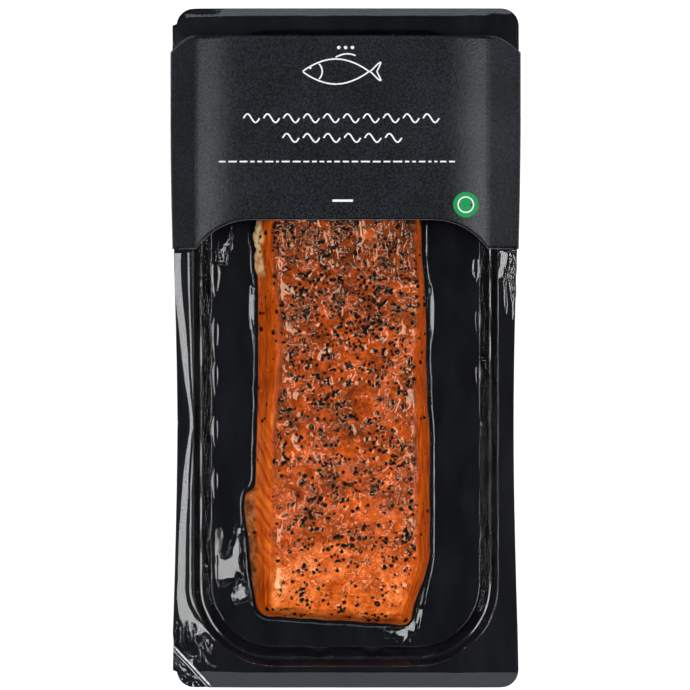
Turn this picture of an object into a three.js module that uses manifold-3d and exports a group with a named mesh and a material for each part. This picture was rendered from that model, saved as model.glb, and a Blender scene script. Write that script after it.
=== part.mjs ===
// Hot smoked salmon fillet with cracked pepper in its skin pack: a black formed tray, the fillet lying in
// it, a clear film drawn down over both, and a card sleeve round one end. Millimetres, +Z up. The pack
// lies on its back: +Y runs towards the sleeve, and the origin is the middle of the footprint.
import * as THREE from 'three';
import { mergeVertices } from 'three/addons/utils/BufferGeometryUtils.js';
import Module from 'manifold-3d';

// Driving dimensions of the tray
const TRAY_LENGTH = 240;
const TRAY_WIDTH = 122.4;
const TRAY_DEPTH = 12.5;
const TRAY_WALL = 0.7;
const TRAY_CORNER = 7;
const SPUR = 1.4;                 // step that the corner punch leaves on the two left corners
const CORE_X = 25;                // half sizes of the rectangle that every cavity contour is an offset of
const CORE_Y = 83.6;
const RIM_OFFSET = 28.7;          // from that rectangle out to the mouth of the cavity
const LEDGE_OUTER = 26.7;
const LEDGE_INNER = 25.9;
const WALL_FOOT = 23.1;
const FLOOR_EDGE = 21.3;
const LEDGE_DROP = 4.5;           // from the flange down to the ledge
const FOOT_RISE = 0.7;            // rounding between wall and floor
const FLUTE_PITCH = 18.9;
const FLUTE_HALF = 4.2;
const FLUTE_DEPTH = 1.6;
const LEDGE_FLUTE_DEPTH = 0.6;    // what is left of a flute where it runs out at the ledge
const LONG_FLUTES = 8;
const SHORT_FLUTES = 2;
const BOW = 1.8;                  // how far the pull of the film draws the long edges in
const CURL = 1.2;                 // and how far it lifts them
const BOW_CENTRE_Y = -28;
const BOW_HALF_LENGTH = 110;
const PEEL_X = 13.2;              // legs of the peel corner that a scored groove cuts off
const PEEL_Y = 14.2;
const GROOVE_HALF = 0.6;
const GROOVE_DEPTH = 0.35;

// Card sleeve
const CARD = 0.4;
const SLEEVE_LOW_Y = 35;
const SLEEVE_HIGH_Y = 109.8;
const SLEEVE_OVERHANG = 0.75;     // past the flange edge on each side
const FRONT_CREASE_X = 50.8;
const BACK_CREASE_X = 51.5;
const EDGE_FOLD_HALF = 1.5;       // half height of the blunt fold round the flange edge
const ARCH_FLAT_X = 31.8;         // the window's straight top reaches this far from the middle
const ARCH_RADIUS = 26.1;
const ARCH_RISE = 10.1;
const CLIP_X = 53;                // the sleeve's far corners are clipped outside this
const CLIP_DROP = 5;

// Fillet
const FILLET_HALF = 30.3;         // mean half width at its base
const FILLET_HALF_LENGTH = 95;
const LEFT_EDGE_X = -31.2;
const RIGHT_EDGE_X = 28.6;
const FILLET_THICKNESS = 17;
const FILLET_CORNER = 7;
const END_BULGE = 0.5;            // how far the cut ends belly out
const FILLET_Y = -2;
const FLAP_REACH = 3.8;           // thin belly edge that sticks out low on the left, near the open end
const FLAP_Y = -59;
const FLAP_ABOVE = 19;            // how far it runs on either side of that
const FLAP_BELOW = 30;
const GRAIN_COUNT = 207;
const GRAIN_LARGEST = 1.25;       // radius
const GRAIN_SMALLEST = 0.65;
const GRAIN_PROUD = 0.7;          // highest that a grain stands over the flesh
const SEED = 20;

// Film
const FILM = 0.25;
const FILM_OVER_FLESH = 1.5;      // enough to clear the pepper
const FILM_GAP = 0.38;            // over the tray, a little more than elsewhere because both surfaces warp

const GAP = 0.3;                  // kept between touching pieces

// Heights worked out from the above
const TRAY_BASE_Z = CARD + GAP;
const FLOOR_Z = TRAY_BASE_Z + TRAY_WALL;
const FLANGE_Z = FLOOR_Z + TRAY_DEPTH;
const FILLET_Z = FLOOR_Z + GAP;
const FILM_TOP_Z = FILLET_Z + FILLET_THICKNESS * 1.025 + FILM_OVER_FLESH + FILM;
const SLEEVE_TOP_Z = FILM_TOP_Z + GAP + CARD;

const wasm = await Module();
wasm.setup();

// Numbers from 0 to 1, the same on every run
function randomNumbers(seed) {
  let state = seed >>> 0;
  return () => {
    state = (Math.imul(state, 1664525) + 1013904223) >>> 0;
    return state / 4294967296;
  };
}

function smooth(low, high, value) {
  const t = Math.min(1, Math.max(0, (value - low) / (high - low)));
  return t * t * (3 - 2 * t);
}

// 1 in the middle, falling to 0 at half a length either side
function hump(value, centre, half) {
  const t = Math.min(1, Math.abs(value - centre) / half);
  return Math.cos(t * Math.PI / 2) ** 2;
}

// A closed surface of rings that all have the same number of points, shut at each end by strips that
// run across it. mirror is the point of a ring that lies across from its first one.
function loftedSolid(rings, mirror) {
  const count = rings[0].length;
  const positions = rings.flat().flatMap((p) => [p.x, p.y, p.z]);
  const index = [];
  for (let r = 0; r + 1 < rings.length; r += 1) {
    for (let i = 0; i < count; i += 1) {
      const j = (i + 1) % count;
      const a = r * count + i;
      const b = r * count + j;
      index.push(a, a + count, b, b, a + count, b + count);
    }
  }
  const last = (rings.length - 1) * count;
  for (const [a, b, c] of capStrips(count, mirror)) {
    index.push(a, b, c);
    index.push(last + a, last + c, last + b);
  }
  return solidGeometry(positions, index);
}

// Triangles across a ring, each strip between two neighbours on one side and their mirrored partners
function capStrips(count, mirror) {
  const wrap = (i) => ((i % count) + count) % count;
  const first = Math.ceil((mirror - count) / 2);
  const triangles = [];
  for (let i = first; i < first + count / 2; i += 1) {
    const corners = [i, i + 1, mirror - i - 1, mirror - i].map(wrap);
    triangles.push([corners[0], corners[1], corners[2]], [corners[0], corners[2], corners[3]]);
  }
  return triangles.filter((t) => new Set(t).size === 3);
}

// Makes a geometry, turning the faces over if they point in
function solidGeometry(positions, index) {
  let volume = 0;
  const corner = (i) => new THREE.Vector3().fromArray(positions, 3 * i);
  for (let i = 0; i < index.length; i += 3) {
    volume += corner(index[i]).dot(corner(index[i + 1]).cross(corner(index[i + 2])));
  }
  const geometry = new THREE.BufferGeometry();
  geometry.setAttribute('position', new THREE.Float32BufferAttribute(positions, 3));
  geometry.setIndex(volume > 0 ? index : index.slice().reverse());
  return geometry;
}

function toManifold(source) {
  const geometry = source.clone();
  geometry.deleteAttribute('normal');
  geometry.deleteAttribute('uv');
  const merged = mergeVertices(geometry, 1e-5);
  return new wasm.Manifold(new wasm.Mesh({
    numProp: 3,
    vertProperties: new Float32Array(merged.attributes.position.array),
    triVerts: new Uint32Array(merged.index.array),
  }));
}

function fromManifold(solid) {
  const mesh = solid.getMesh();
  const geometry = new THREE.BufferGeometry();
  geometry.setAttribute('position', new THREE.BufferAttribute(new Float32Array(mesh.vertProperties), 3));
  geometry.setIndex(new THREE.BufferAttribute(new Uint32Array(mesh.triVerts), 1));
  return geometry;
}

// The directions from which a ring round the tray is made: positions along the straight sides, and
// angles round the corners. Each step has a foot on the core rectangle and a direction.
function trayDirections(longStops, shortStops, cornerAngles) {
  const steps = [];
  const corner = (x, y, start) => {
    for (const angle of cornerAngles) {
      steps.push({ side: 'corner', x, y, angle: THREE.MathUtils.degToRad(start + angle) });
    }
  };
  const long = (x, y, angle) => steps.push({ side: 'long', x, y, angle });
  const short = (x, y, angle) => steps.push({ side: 'short', x, y, angle });
  longStops.forEach((y) => long(CORE_X, y, 0));
  corner(CORE_X, CORE_Y, 0);
  shortStops.forEach((x) => short(-x, CORE_Y, Math.PI / 2));
  corner(-CORE_X, CORE_Y, 90);
  longStops.forEach((y) => long(-CORE_X, -y, Math.PI));
  corner(-CORE_X, -CORE_Y, 180);
  shortStops.forEach((x) => short(x, -CORE_Y, -Math.PI / 2));
  corner(CORE_X, -CORE_Y, 270);
  return steps;
}

// Middles of the flutes along a side that has this many
function fluteCentres(count) {
  return Array.from({ length: count }, (_, i) => (i - (count - 1) / 2) * FLUTE_PITCH);
}

function fluteStops(count) {
  return fluteCentres(count).flatMap((c) => [-1, -0.5, 0, 0.5, 1].map((k) => c + k * FLUTE_HALF));
}

function evenStops(half, count) {
  return Array.from({ length: count }, (_, i) => -half + (2 * half * (i + 1)) / (count + 1));
}

// The last stop of the far long side, which lies across from the first stop of the near one
function mirrorOfFirst(stops) {
  return stops.findLastIndex((s) => s.side === 'long');
}

// How far a flute pushes the wall out at this direction, from 0 to 1
function fluteAt(step) {
  if (step.side === 'corner') return 0;
  const place = step.side === 'long' ? step.y : step.x;
  const centres = fluteCentres(step.side === 'long' ? LONG_FLUTES : SHORT_FLUTES);
  return Math.max(...centres.map((c) => hump(place, c, FLUTE_HALF)));
}

// A contour of the cavity: the core rectangle pushed out by this much
function cavityRing(steps, offset, z, flute) {
  return steps.map((s) => {
    const reach = offset + flute * fluteAt(s);
    return new THREE.Vector3(s.x + reach * Math.cos(s.angle), s.y + reach * Math.sin(s.angle), z);
  });
}

// Where a ray from the core rectangle meets the outer edge of the flange
function flangeEdge(step, spurred) {
  const halfX = TRAY_WIDTH / 2;
  const halfY = TRAY_LENGTH / 2;
  const dx = Math.cos(step.angle);
  const dy = Math.sin(step.angle);
  const toX = Math.abs(dx) > 1e-9 ? (halfX - Math.abs(step.x)) / Math.abs(dx) : Infinity;
  const toY = Math.abs(dy) > 1e-9 ? (halfY - Math.abs(step.y)) / Math.abs(dy) : Infinity;
  let reach = Math.min(toX, toY);
  const point = () => new THREE.Vector2(step.x + reach * dx, step.y + reach * dy);
  const inset = spurred && point().x < 0 ? SPUR : 0;
  const centre = new THREE.Vector2(halfX - inset - TRAY_CORNER, halfY - TRAY_CORNER);
  const tip = point();
  if (Math.abs(tip.x) > centre.x && Math.abs(tip.y) > centre.y + 0.3) {
    const away = new THREE.Vector2(Math.abs(step.x), Math.abs(step.y)).sub(centre);
    const ray = new THREE.Vector2(Math.abs(dx), Math.abs(dy));
    const b = away.dot(ray);
    reach = -b + Math.sqrt(b * b - away.lengthSq() + TRAY_CORNER ** 2);
  }
  return point();
}

// The pull of the film on the long edges at this distance along the pack, from 0 to 1
function pull(y) {
  return hump(y, BOW_CENTRE_Y, BOW_HALF_LENGTH);
}

// The outer edge of the flange at this height, drawn in and lifted along the long sides
function flangeRing(steps, z, spurred) {
  return steps.map((s) => {
    const p = flangeEdge(s, spurred);
    const draw = pull(p.y) * Math.cos(s.angle) ** 2;
    return new THREE.Vector3(p.x - Math.sign(p.x) * BOW * draw, p.y, z + CURL * draw);
  });
}

function makeTray() {
  const angles = [0, 13, 26, 39.1, 40.2, 43.2, 46.4, 49.4, 52.2, 65, 78, 90];
  const steps = trayDirections(fluteStops(LONG_FLUTES), fluteStops(SHORT_FLUTES), angles);
  const ledgeZ = FLANGE_Z - LEDGE_DROP;
  const t = TRAY_WALL;
  const lean = 0.35 * t;          // how much further out the back of a sloping wall lies than its top edge
  const upper = [
    cavityRing(steps, FLOOR_EDGE, FLOOR_Z, 0),
    cavityRing(steps, WALL_FOOT, FLOOR_Z + FOOT_RISE, FLUTE_DEPTH),
    cavityRing(steps, LEDGE_INNER, ledgeZ, LEDGE_FLUTE_DEPTH),
    cavityRing(steps, LEDGE_OUTER, ledgeZ, 0),
    cavityRing(steps, RIM_OFFSET, FLANGE_Z, 0),
    flangeRing(steps, FLANGE_Z, true),
  ];
  const lower = [
    flangeRing(steps, FLANGE_Z - t, true),
    cavityRing(steps, RIM_OFFSET + lean, FLANGE_Z - t, 0),
    cavityRing(steps, LEDGE_OUTER + t, ledgeZ - lean, 0),
    cavityRing(steps, LEDGE_INNER + t, ledgeZ - t, LEDGE_FLUTE_DEPTH),
    cavityRing(steps, WALL_FOOT + lean, TRAY_BASE_Z + FOOT_RISE / 2, FLUTE_DEPTH),
    cavityRing(steps, FLOOR_EDGE, TRAY_BASE_Z, 0),
  ];
  const tray = toManifold(loftedSolid([...upper, ...lower], mirrorOfFirst(steps)));
  return fromManifold(tray.subtract(toManifold(peelGroove())));
}

// A long wedge, point down, laid across the corner of the flange
function peelGroove() {
  const halfX = TRAY_WIDTH / 2;
  const halfY = TRAY_LENGTH / 2;
  const shape = new THREE.Shape([
    new THREE.Vector2(-GROOVE_HALF - 0.5, GROOVE_DEPTH + 0.3),
    new THREE.Vector2(0, -GROOVE_DEPTH),
    new THREE.Vector2(GROOVE_HALF + 0.5, GROOVE_DEPTH + 0.3),
  ]);
  const length = Math.hypot(PEEL_X, PEEL_Y) + 6;
  const groove = new THREE.ExtrudeGeometry(shape, { depth: length, bevelEnabled: false });
  groove.translate(0, 0, -length / 2);
  groove.rotateX(Math.PI / 2);
  groove.rotateZ(Math.atan2(PEEL_X, PEEL_Y));
  groove.translate(-halfX + PEEL_X / 2, -halfY + PEEL_Y / 2, FLANGE_Z);
  return groove;
}

// The two long edges of the fillet's base, without the belly flap
function leftEdge(y) {
  return LEFT_EDGE_X - 1.1 * smooth(20, 46, y) - 0.9 * smooth(-10, -60, y) + 2.5 * smooth(75, 93, y);
}

function rightEdge(y) {
  const taper = 7 * smooth(-72, -100, y) + 2.5 * smooth(75, 93, y);
  return RIGHT_EDGE_X + 1.3 * smooth(0, -40, y) - 1.9 * smooth(6, 40, y) - taper;
}

// The fillet's plan. across and along run from -1 to 1 over the slab; the result is in the pack's frame.
function filletPlan(across, along) {
  const skew = 1.7 * across * Math.max(0, -along);
  const y = FILLET_Y + along * FILLET_HALF_LENGTH - skew;
  const middle = (leftEdge(y) + rightEdge(y)) / 2;
  return new THREE.Vector2(middle + (across * (rightEdge(y) - leftEdge(y))) / 2, y);
}

// How far the belly flap reaches out at this distance along the pack, from 0 to 1
function flapAt(y) {
  return hump(y, FLAP_Y, y > FLAP_Y ? FLAP_ABOVE : FLAP_BELOW);
}

// Height of the flesh over its base, as a share of the full thickness
function filletHeight(y) {
  return 1 - 0.05 * smooth(10, -60, y) - 0.17 * smooth(-66, -97, y) - 0.12 * smooth(60, 93, y);
}

// Shallow relief of the flaky top, in millimetres
function relief(x, y) {
  const segment = Math.sin((y + 0.35 * Math.abs(x)) / 3.4 + 0.6 * Math.sin(x / 9));
  return 0.22 * segment + 0.25 * Math.sin(x / 7.5 + y / 19) * Math.cos(y / 11);
}

// One contour of the fillet: how far its sides stand in from the base on the left, right and at the
// ends, how high it lies, how much of the belly flap and how much of the relief it has, and how far it
// is pushed out and up all over
function filletRing(stops, { left, right, ends, height, flap = 0, rough = 0, out = 0, up = 0 }) {
  const lowX = -FILLET_HALF + left - out;
  const highX = FILLET_HALF - right + out;
  const halfY = FILLET_HALF_LENGTH - ends + out;
  const r = Math.min(FILLET_CORNER + out, 0.4 * (highX - lowX));
  return stops.map((s) => {
    const foot = new THREE.Vector2(s.x > 0 ? highX - r : lowX + r, Math.sign(s.y) * (halfY - r));
    if (s.side === 'long') foot.y = s.share * (halfY - r);
    if (s.side === 'short') foot.x = (lowX + highX) / 2 + s.share * ((highX - lowX) / 2 - r);
    const plain = foot.add(new THREE.Vector2(Math.cos(s.angle), Math.sin(s.angle)).multiplyScalar(r));
    if (s.side === 'short') plain.y += Math.sign(s.y) * END_BULGE * (1 - s.share ** 2);
    const p = filletPlan(plain.x / FILLET_HALF, plain.y / FILLET_HALF_LENGTH);
    const reach = p.x < 0 ? flap * FLAP_REACH * flapAt(p.y) : 0;
    const z = FILLET_Z + height * FILLET_THICKNESS * filletHeight(p.y) + rough * relief(p.x, p.y) + up;
    return new THREE.Vector3(p.x - reach, p.y, z);
  });
}

// Directions for the contours of the fillet, matching the order of trayDirections
function filletStops(longCount, shortCount, cornerAngles) {
  const stops = [];
  const shares = (count) => Array.from({ length: count }, (_, i) => -1 + (2 * (i + 1)) / (count + 1));
  const corner = (x, y, start) => {
    for (const angle of cornerAngles) {
      stops.push({ side: 'corner', x, y, angle: THREE.MathUtils.degToRad(start + angle) });
    }
  };
  for (const share of shares(longCount)) stops.push({ side: 'long', share, x: 1, y: 1, angle: 0 });
  corner(1, 1, 0);
  for (const share of shares(shortCount).reverse()) {
    stops.push({ side: 'short', share, x: 1, y: 1, angle: Math.PI / 2 });
  }
  corner(-1, 1, 90);
  for (const share of shares(longCount).reverse()) {
    stops.push({ side: 'long', share, x: -1, y: 1, angle: Math.PI });
  }
  corner(-1, -1, 180);
  for (const share of shares(shortCount)) stops.push({ side: 'short', share, x: 1, y: -1, angle: -Math.PI / 2 });
  corner(1, -1, 270);
  return stops;
}

// Contours from the foot of the fillet up over its edge to the middle of its top
const FILLET_PROFILE = {
  foot: { left: 1.2, right: 1.0, ends: 1.0, height: 0, flap: 0.7 },
  belly: { left: 0, right: 0, ends: 0, height: 0.14, flap: 1 },
  side: { left: 1.6, right: 1.0, ends: 0.8, height: 0.42, flap: 0.45 },
  shoulder: { left: 4.6, right: 2.8, ends: 2.2, height: 0.84 },
  brow: { left: 6.8, right: 4.6, ends: 4.4, height: 0.975, rough: 0.5 },
  outerTop: { left: 11.5, right: 9.5, ends: 9, height: 1.01, rough: 1 },
  middleTop: { left: 18.5, right: 16.5, ends: 17, height: 1.025, rough: 1 },
  innerTop: { left: 25.5, right: 24, ends: 27, height: 1.02, rough: 1 },
};

function makeFilletBody() {
  const stops = filletStops(24, 5, [0, 22.5, 45, 67.5, 90]);
  const order = ['innerTop', 'middleTop', 'outerTop', 'brow', 'shoulder', 'side', 'belly', 'foot'];
  return loftedSolid(order.map((name) => filletRing(stops, FILLET_PROFILE[name])), mirrorOfFirst(stops));
}

// Height of the top of the flesh at a place well inside its edge
function fleshTop(x, y) {
  return FILLET_Z + FILLET_THICKNESS * 1.01 * filletHeight(y) + relief(x, y);
}

// A cracked peppercorn: an octahedron with uneven corners
function grain(radius, place, random) {
  const geometry = new THREE.OctahedronGeometry(radius, 0);
  geometry.deleteAttribute('normal');
  geometry.deleteAttribute('uv');
  const solid = mergeVertices(geometry, 1e-4);
  const points = solid.attributes.position;
  for (let i = 0; i < points.count; i += 1) {
    const stretch = 0.7 + 0.3 * random();
    points.setXYZ(i, points.getX(i) * stretch, points.getY(i) * stretch, points.getZ(i) * stretch);
  }
  solid.rotateX(random() * Math.PI);
  solid.rotateZ(random() * Math.PI);
  solid.computeBoundingBox();
  const top = place.z + Math.min(GRAIN_PROUD, radius * 0.75);
  solid.translate(place.x, place.y, top - solid.boundingBox.max.z);
  return solid;
}

// Grains over the top, one to a cell of a grid, the largest first
function makeFillet() {
  const random = randomNumbers(SEED);
  const columns = 9;
  const rows = GRAIN_COUNT / columns;
  const cells = [];
  for (let row = 0; row < rows; row += 1) {
    for (let column = 0; column < columns; column += 1) {
      const across = -0.74 + (1.53 * (column + 0.15 + 0.7 * random())) / columns;
      const along = -0.93 + (1.84 * (row + 0.1 + 0.8 * random())) / rows;
      cells.push({ across, along, order: random() });
    }
  }
  cells.sort((a, b) => a.order - b.order);
  let body = toManifold(makeFilletBody());
  cells.forEach((cell, i) => {
    const radius = GRAIN_LARGEST + (GRAIN_SMALLEST - GRAIN_LARGEST) * (i / cells.length);
    const p = filletPlan(cell.across, cell.along);
    const place = new THREE.Vector3(p.x, p.y, fleshTop(p.x, p.y));
    body = body.add(toManifold(grain(radius, place, random)));
  });
  const pieces = body.decompose();
  pieces.sort((a, b) => b.volume() - a.volume());
  return fromManifold(pieces[0]);
}

// The film lies on the flange, walls and floor of the tray, and goes up over the fillet
function makeFilm() {
  const cornerAngles = [0, 15, 30, 39.1, 45, 51, 60, 75, 90];
  const longCount = 11;
  const shortCount = 3;
  const steps = trayDirections(evenStops(CORE_Y, longCount), evenStops(CORE_X, shortCount), cornerAngles);
  const stops = filletStops(longCount, shortCount, cornerAngles);
  const ledgeZ = FLANGE_Z - LEDGE_DROP;
  const inset = 0.6;
  const profile = FILLET_PROFILE;
  const side = (extra) => {
    const over = FILM_GAP + extra;
    const crown = FILM_OVER_FLESH + extra;
    return [
      filletRing(stops, { ...profile.innerTop, rough: 0, up: crown }),
      filletRing(stops, { ...profile.middleTop, rough: 0, up: crown }),
      filletRing(stops, { ...profile.brow, rough: 0, out: 0.8 + extra, up: crown + 0.2 }),
      filletRing(stops, { ...profile.shoulder, out: 1.3 + extra, up: 0.6 + extra / 2 }),
      filletRing(stops, { ...profile.side, flap: 1, out: 1.6 + extra, up: extra / 2 }),
      filletRing(stops, { ...profile.belly, height: 0, out: 2.1 + extra, up: 1.2 + extra }),
      filletRing(stops, { ...profile.belly, height: 0, out: 4.5, up: extra }),
      cavityRing(steps, FLOOR_EDGE - inset, FLOOR_Z + over, 0),
      cavityRing(steps, WALL_FOOT - inset - extra, FLOOR_Z + FOOT_RISE + over, 0),
      cavityRing(steps, LEDGE_INNER - inset - extra / 2, ledgeZ + over, 0),
      cavityRing(steps, LEDGE_OUTER - inset - extra, ledgeZ + over, 0),
      cavityRing(steps, RIM_OFFSET - inset - extra / 2, FLANGE_Z + over, 0),
      flangeRing(steps, FLANGE_Z + over, false),
    ];
  };
  return loftedSolid([...side(FILM), ...side(0).reverse()], mirrorOfFirst(steps));
}

// Half width of the sleeve at this distance along the pack
function sleeveHalf(y) {
  return TRAY_WIDTH / 2 - BOW * pull(y) + SLEEVE_OVERHANG;
}

// The near edge of the sleeve's front: an arch between the creases, straight outside them
function windowEdge(x) {
  const past = Math.min(Math.abs(x) - ARCH_FLAT_X, FRONT_CREASE_X - ARCH_FLAT_X);
  if (past <= 0) return SLEEVE_LOW_Y + ARCH_RISE;
  const drop = ARCH_RADIUS - Math.sqrt(ARCH_RADIUS ** 2 - past ** 2);
  const full = ARCH_RADIUS - Math.sqrt(ARCH_RADIUS ** 2 - (FRONT_CREASE_X - ARCH_FLAT_X) ** 2);
  return SLEEVE_LOW_Y + ARCH_RISE * (1 - drop / full);
}

function farEdge(x) {
  return SLEEVE_HIGH_Y - CLIP_DROP * Math.max(0, (Math.abs(x) - CLIP_X) / 8.5) ** 1.6;
}

// One section of the sleeve at the given distance along the pack, with its middle at inset 0 and its
// inner face at inset CARD. Each corner is {x, z, front}.
function sleeveSection(inset) {
  const bend = 0.45 * inset;      // the miter where two panels meet at a crease
  const right = [];
  for (let i = 0; i <= 11; i += 1) {
    right.push({ x: (FRONT_CREASE_X - bend) * (i / 11), z: SLEEVE_TOP_Z - inset, front: true });
  }
  const panel = 3;
  const edge = FLANGE_Z;
  for (let i = 1; i <= panel; i += 1) {
    const z = SLEEVE_TOP_Z - inset + (edge + EDGE_FOLD_HALF - bend - SLEEVE_TOP_Z + inset) * (i / panel);
    right.push({ share: i / panel, from: FRONT_CREASE_X - bend, z, inset, front: true });
  }
  for (let i = 0; i <= panel; i += 1) {
    const z = edge - EDGE_FOLD_HALF + bend + (inset - edge + EDGE_FOLD_HALF - bend) * (i / panel);
    right.push({ share: 1 - i / panel, from: BACK_CREASE_X - bend, z, inset, front: false });
  }
  for (let i = 1; i <= 3; i += 1) {
    right.push({ x: (BACK_CREASE_X - bend) * (1 - i / 3), z: inset, front: false });
  }
  const left = right.slice(1, -1).reverse().map((p) => ({ ...p, mirror: true }));
  return [...right, ...left];
}

function sleevePoint(corner, y) {
  const edge = sleeveHalf(y) - (corner.inset ?? 0);
  const x = corner.share === undefined ? corner.x : corner.from + (edge - corner.from) * corner.share;
  return new THREE.Vector3(corner.mirror ? -x : x, y, corner.z);
}

function makeSleeve() {
  const shares = [0, 0.25, 0.5, 0.75, 1];
  const face = (inset) => shares.map((share) => sleeveSection(inset).map((corner) => {
    const at = sleevePoint(corner, (SLEEVE_LOW_Y + SLEEVE_HIGH_Y) / 2).x;
    const near = corner.front ? windowEdge(at) : SLEEVE_LOW_Y;
    return sleevePoint(corner, near + (farEdge(at) - near) * share);
  }));
  const rings = [...face(0), ...face(CARD).reverse()];
  const count = rings[0].length;
  const positions = rings.flat().flatMap((p) => [p.x, p.y, p.z]);
  const index = [];
  rings.forEach((_, r) => {
    const next = (r + 1) % rings.length;
    for (let i = 0; i < count; i += 1) {
      const j = (i + 1) % count;
      index.push(r * count + i, next * count + i, r * count + j);
      index.push(r * count + j, next * count + i, next * count + j);
    }
  });
  return solidGeometry(positions, index);
}

function named(name, geometry, look) {
  const mesh = new THREE.Mesh(geometry.index ? geometry : mergeVertices(geometry), new THREE.MeshStandardMaterial(look));
  mesh.name = name;
  return mesh;
}

const pack = new THREE.Group();
pack.add(
  named('tray', makeTray(), { color: 0x121416, roughness: 0.25, metalness: 0 }),
  named('salmon_fillet', makeFillet(), { color: 0xc75a1e, roughness: 0.4, metalness: 0 }),
  named('skin_film', makeFilm(), { color: 0xffffff, roughness: 0.08, metalness: 0, transparent: true, opacity: 0.2 }),
  named('card_sleeve', makeSleeve(), { color: 0x2b2f33, roughness: 0.6, metalness: 0 }),
);

export default pack;
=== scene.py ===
"""Dressed model of a peppered hot smoked salmon fillet in its skin pack, with a plain studio round it.

The classes hold their sizes in millimetres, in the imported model's frame: +Z up out of the side that shows
the fish, +Y towards the card sleeve. make_object() turns them into metres. The tray, the flesh and the film
are meshes of rings and grids worked out with numpy, and the pepper is scattered by Geometry Nodes. The
studio's lights are placed in metres.
"""

import logging
import math
from dataclasses import dataclass
from enum import Enum

import bpy
import numpy as np
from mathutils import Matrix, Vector
from mathutils.bvhtree import BVHTree


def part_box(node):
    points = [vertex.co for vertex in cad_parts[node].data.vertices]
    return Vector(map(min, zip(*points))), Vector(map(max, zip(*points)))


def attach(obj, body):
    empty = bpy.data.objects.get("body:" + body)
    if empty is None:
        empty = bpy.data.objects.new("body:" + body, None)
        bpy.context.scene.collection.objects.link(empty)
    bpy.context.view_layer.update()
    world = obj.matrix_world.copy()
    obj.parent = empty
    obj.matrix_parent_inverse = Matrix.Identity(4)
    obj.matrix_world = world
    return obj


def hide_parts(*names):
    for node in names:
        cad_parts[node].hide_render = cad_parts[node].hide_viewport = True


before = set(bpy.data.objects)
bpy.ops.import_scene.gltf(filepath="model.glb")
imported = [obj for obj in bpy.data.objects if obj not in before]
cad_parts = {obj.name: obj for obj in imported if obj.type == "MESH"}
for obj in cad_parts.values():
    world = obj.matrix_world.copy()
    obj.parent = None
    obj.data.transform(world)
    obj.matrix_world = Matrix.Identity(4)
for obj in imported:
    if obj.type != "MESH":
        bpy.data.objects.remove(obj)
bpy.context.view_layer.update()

LOG = logging.getLogger("salmon_pack")
MM = 0.001
TAU = 2 * math.pi
ROOT = "root"
WHITE = (1.0, 1.0, 1.0, 1.0)

Grid = np.ndarray
Piece = bpy.types.Object
Socket = bpy.types.NodeSocket
Material = bpy.types.Material
Colour = tuple[int, int, int]
Rgba = tuple[float, float, float, float]
Triple = tuple[float, float, float]
Pair = tuple[float, float]
Row = tuple[float, ...]
Pairs = tuple[Pair, ...]
Triples = tuple[Triple, ...]
Grids = tuple[Grid, Grid]


def smooth(low: float, high: float, value: Grid) -> Grid:
    """Rises from 0 where the value is low to 1 where it is high, with flat ends; low may be the larger."""
    t = np.clip((np.asarray(value) - low) / (high - low), 0, 1)
    return t * t * (3 - 2 * t)


def hump(value: Grid, centre: float, half: float) -> Grid:
    """1 where the value is at the centre, falling to 0 at half a length on either side."""
    t = np.clip(np.abs(np.asarray(value) - centre) / half, 0, 1)
    return np.cos(t * math.pi / 2) ** 2


def stepped(start: float, y: Grid, steps: Triples) -> Grid:
    """A level that changes smoothly over some stretches.

    Args:
        start: The level where no stretch has begun.
        y: Where to read it.
        steps: How far it changes in each stretch, where the change begins and where it is complete.

    Returns:
        The level at each place.
    """
    level = start
    for change, begin, end in steps:
        level = level + change * smooth(begin, end, y)
    return level


def curve_through(t: Grid, knots: Row, values: Row) -> Grid:
    """A smooth curve through a few values.

    Args:
        t: Where to read the curve.
        knots: Rising positions of the values.
        values: What the curve passes through.

    Returns:
        The curve at t, level beyond its ends.
    """
    k = np.asarray(knots, float)
    v = np.asarray(values, float)
    slope = np.gradient(v, k)
    i = np.clip(np.searchsorted(k, t, side="right") - 1, 0, len(k) - 2)
    span = k[i + 1] - k[i]
    s = np.clip((t - k[i]) / span, 0, 1)
    rise = s * s * (3 - 2 * s)
    bend = span * (slope[i] * s * (1 - s) ** 2 - slope[i + 1] * s * s * (1 - s))
    return v[i] + (v[i + 1] - v[i]) * rise + bend


def lattice_angle(ix: Grid, iy: Grid, seed: int) -> Grid:
    """A fixed direction for each point of a whole-number lattice.

    Args:
        ix: Lattice columns.
        iy: Lattice rows.
        seed: Picks the pattern.

    Returns:
        Angles in radians.
    """
    h = (ix * 374761393 + iy * 668265263 + seed * 362437) & 0xFFFFFFFF
    h = ((h ^ (h >> 13)) * 1274126177) & 0xFFFFFFFF
    return ((h ^ (h >> 16)) & 0xFFFF) / 65536.0 * TAU


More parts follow.
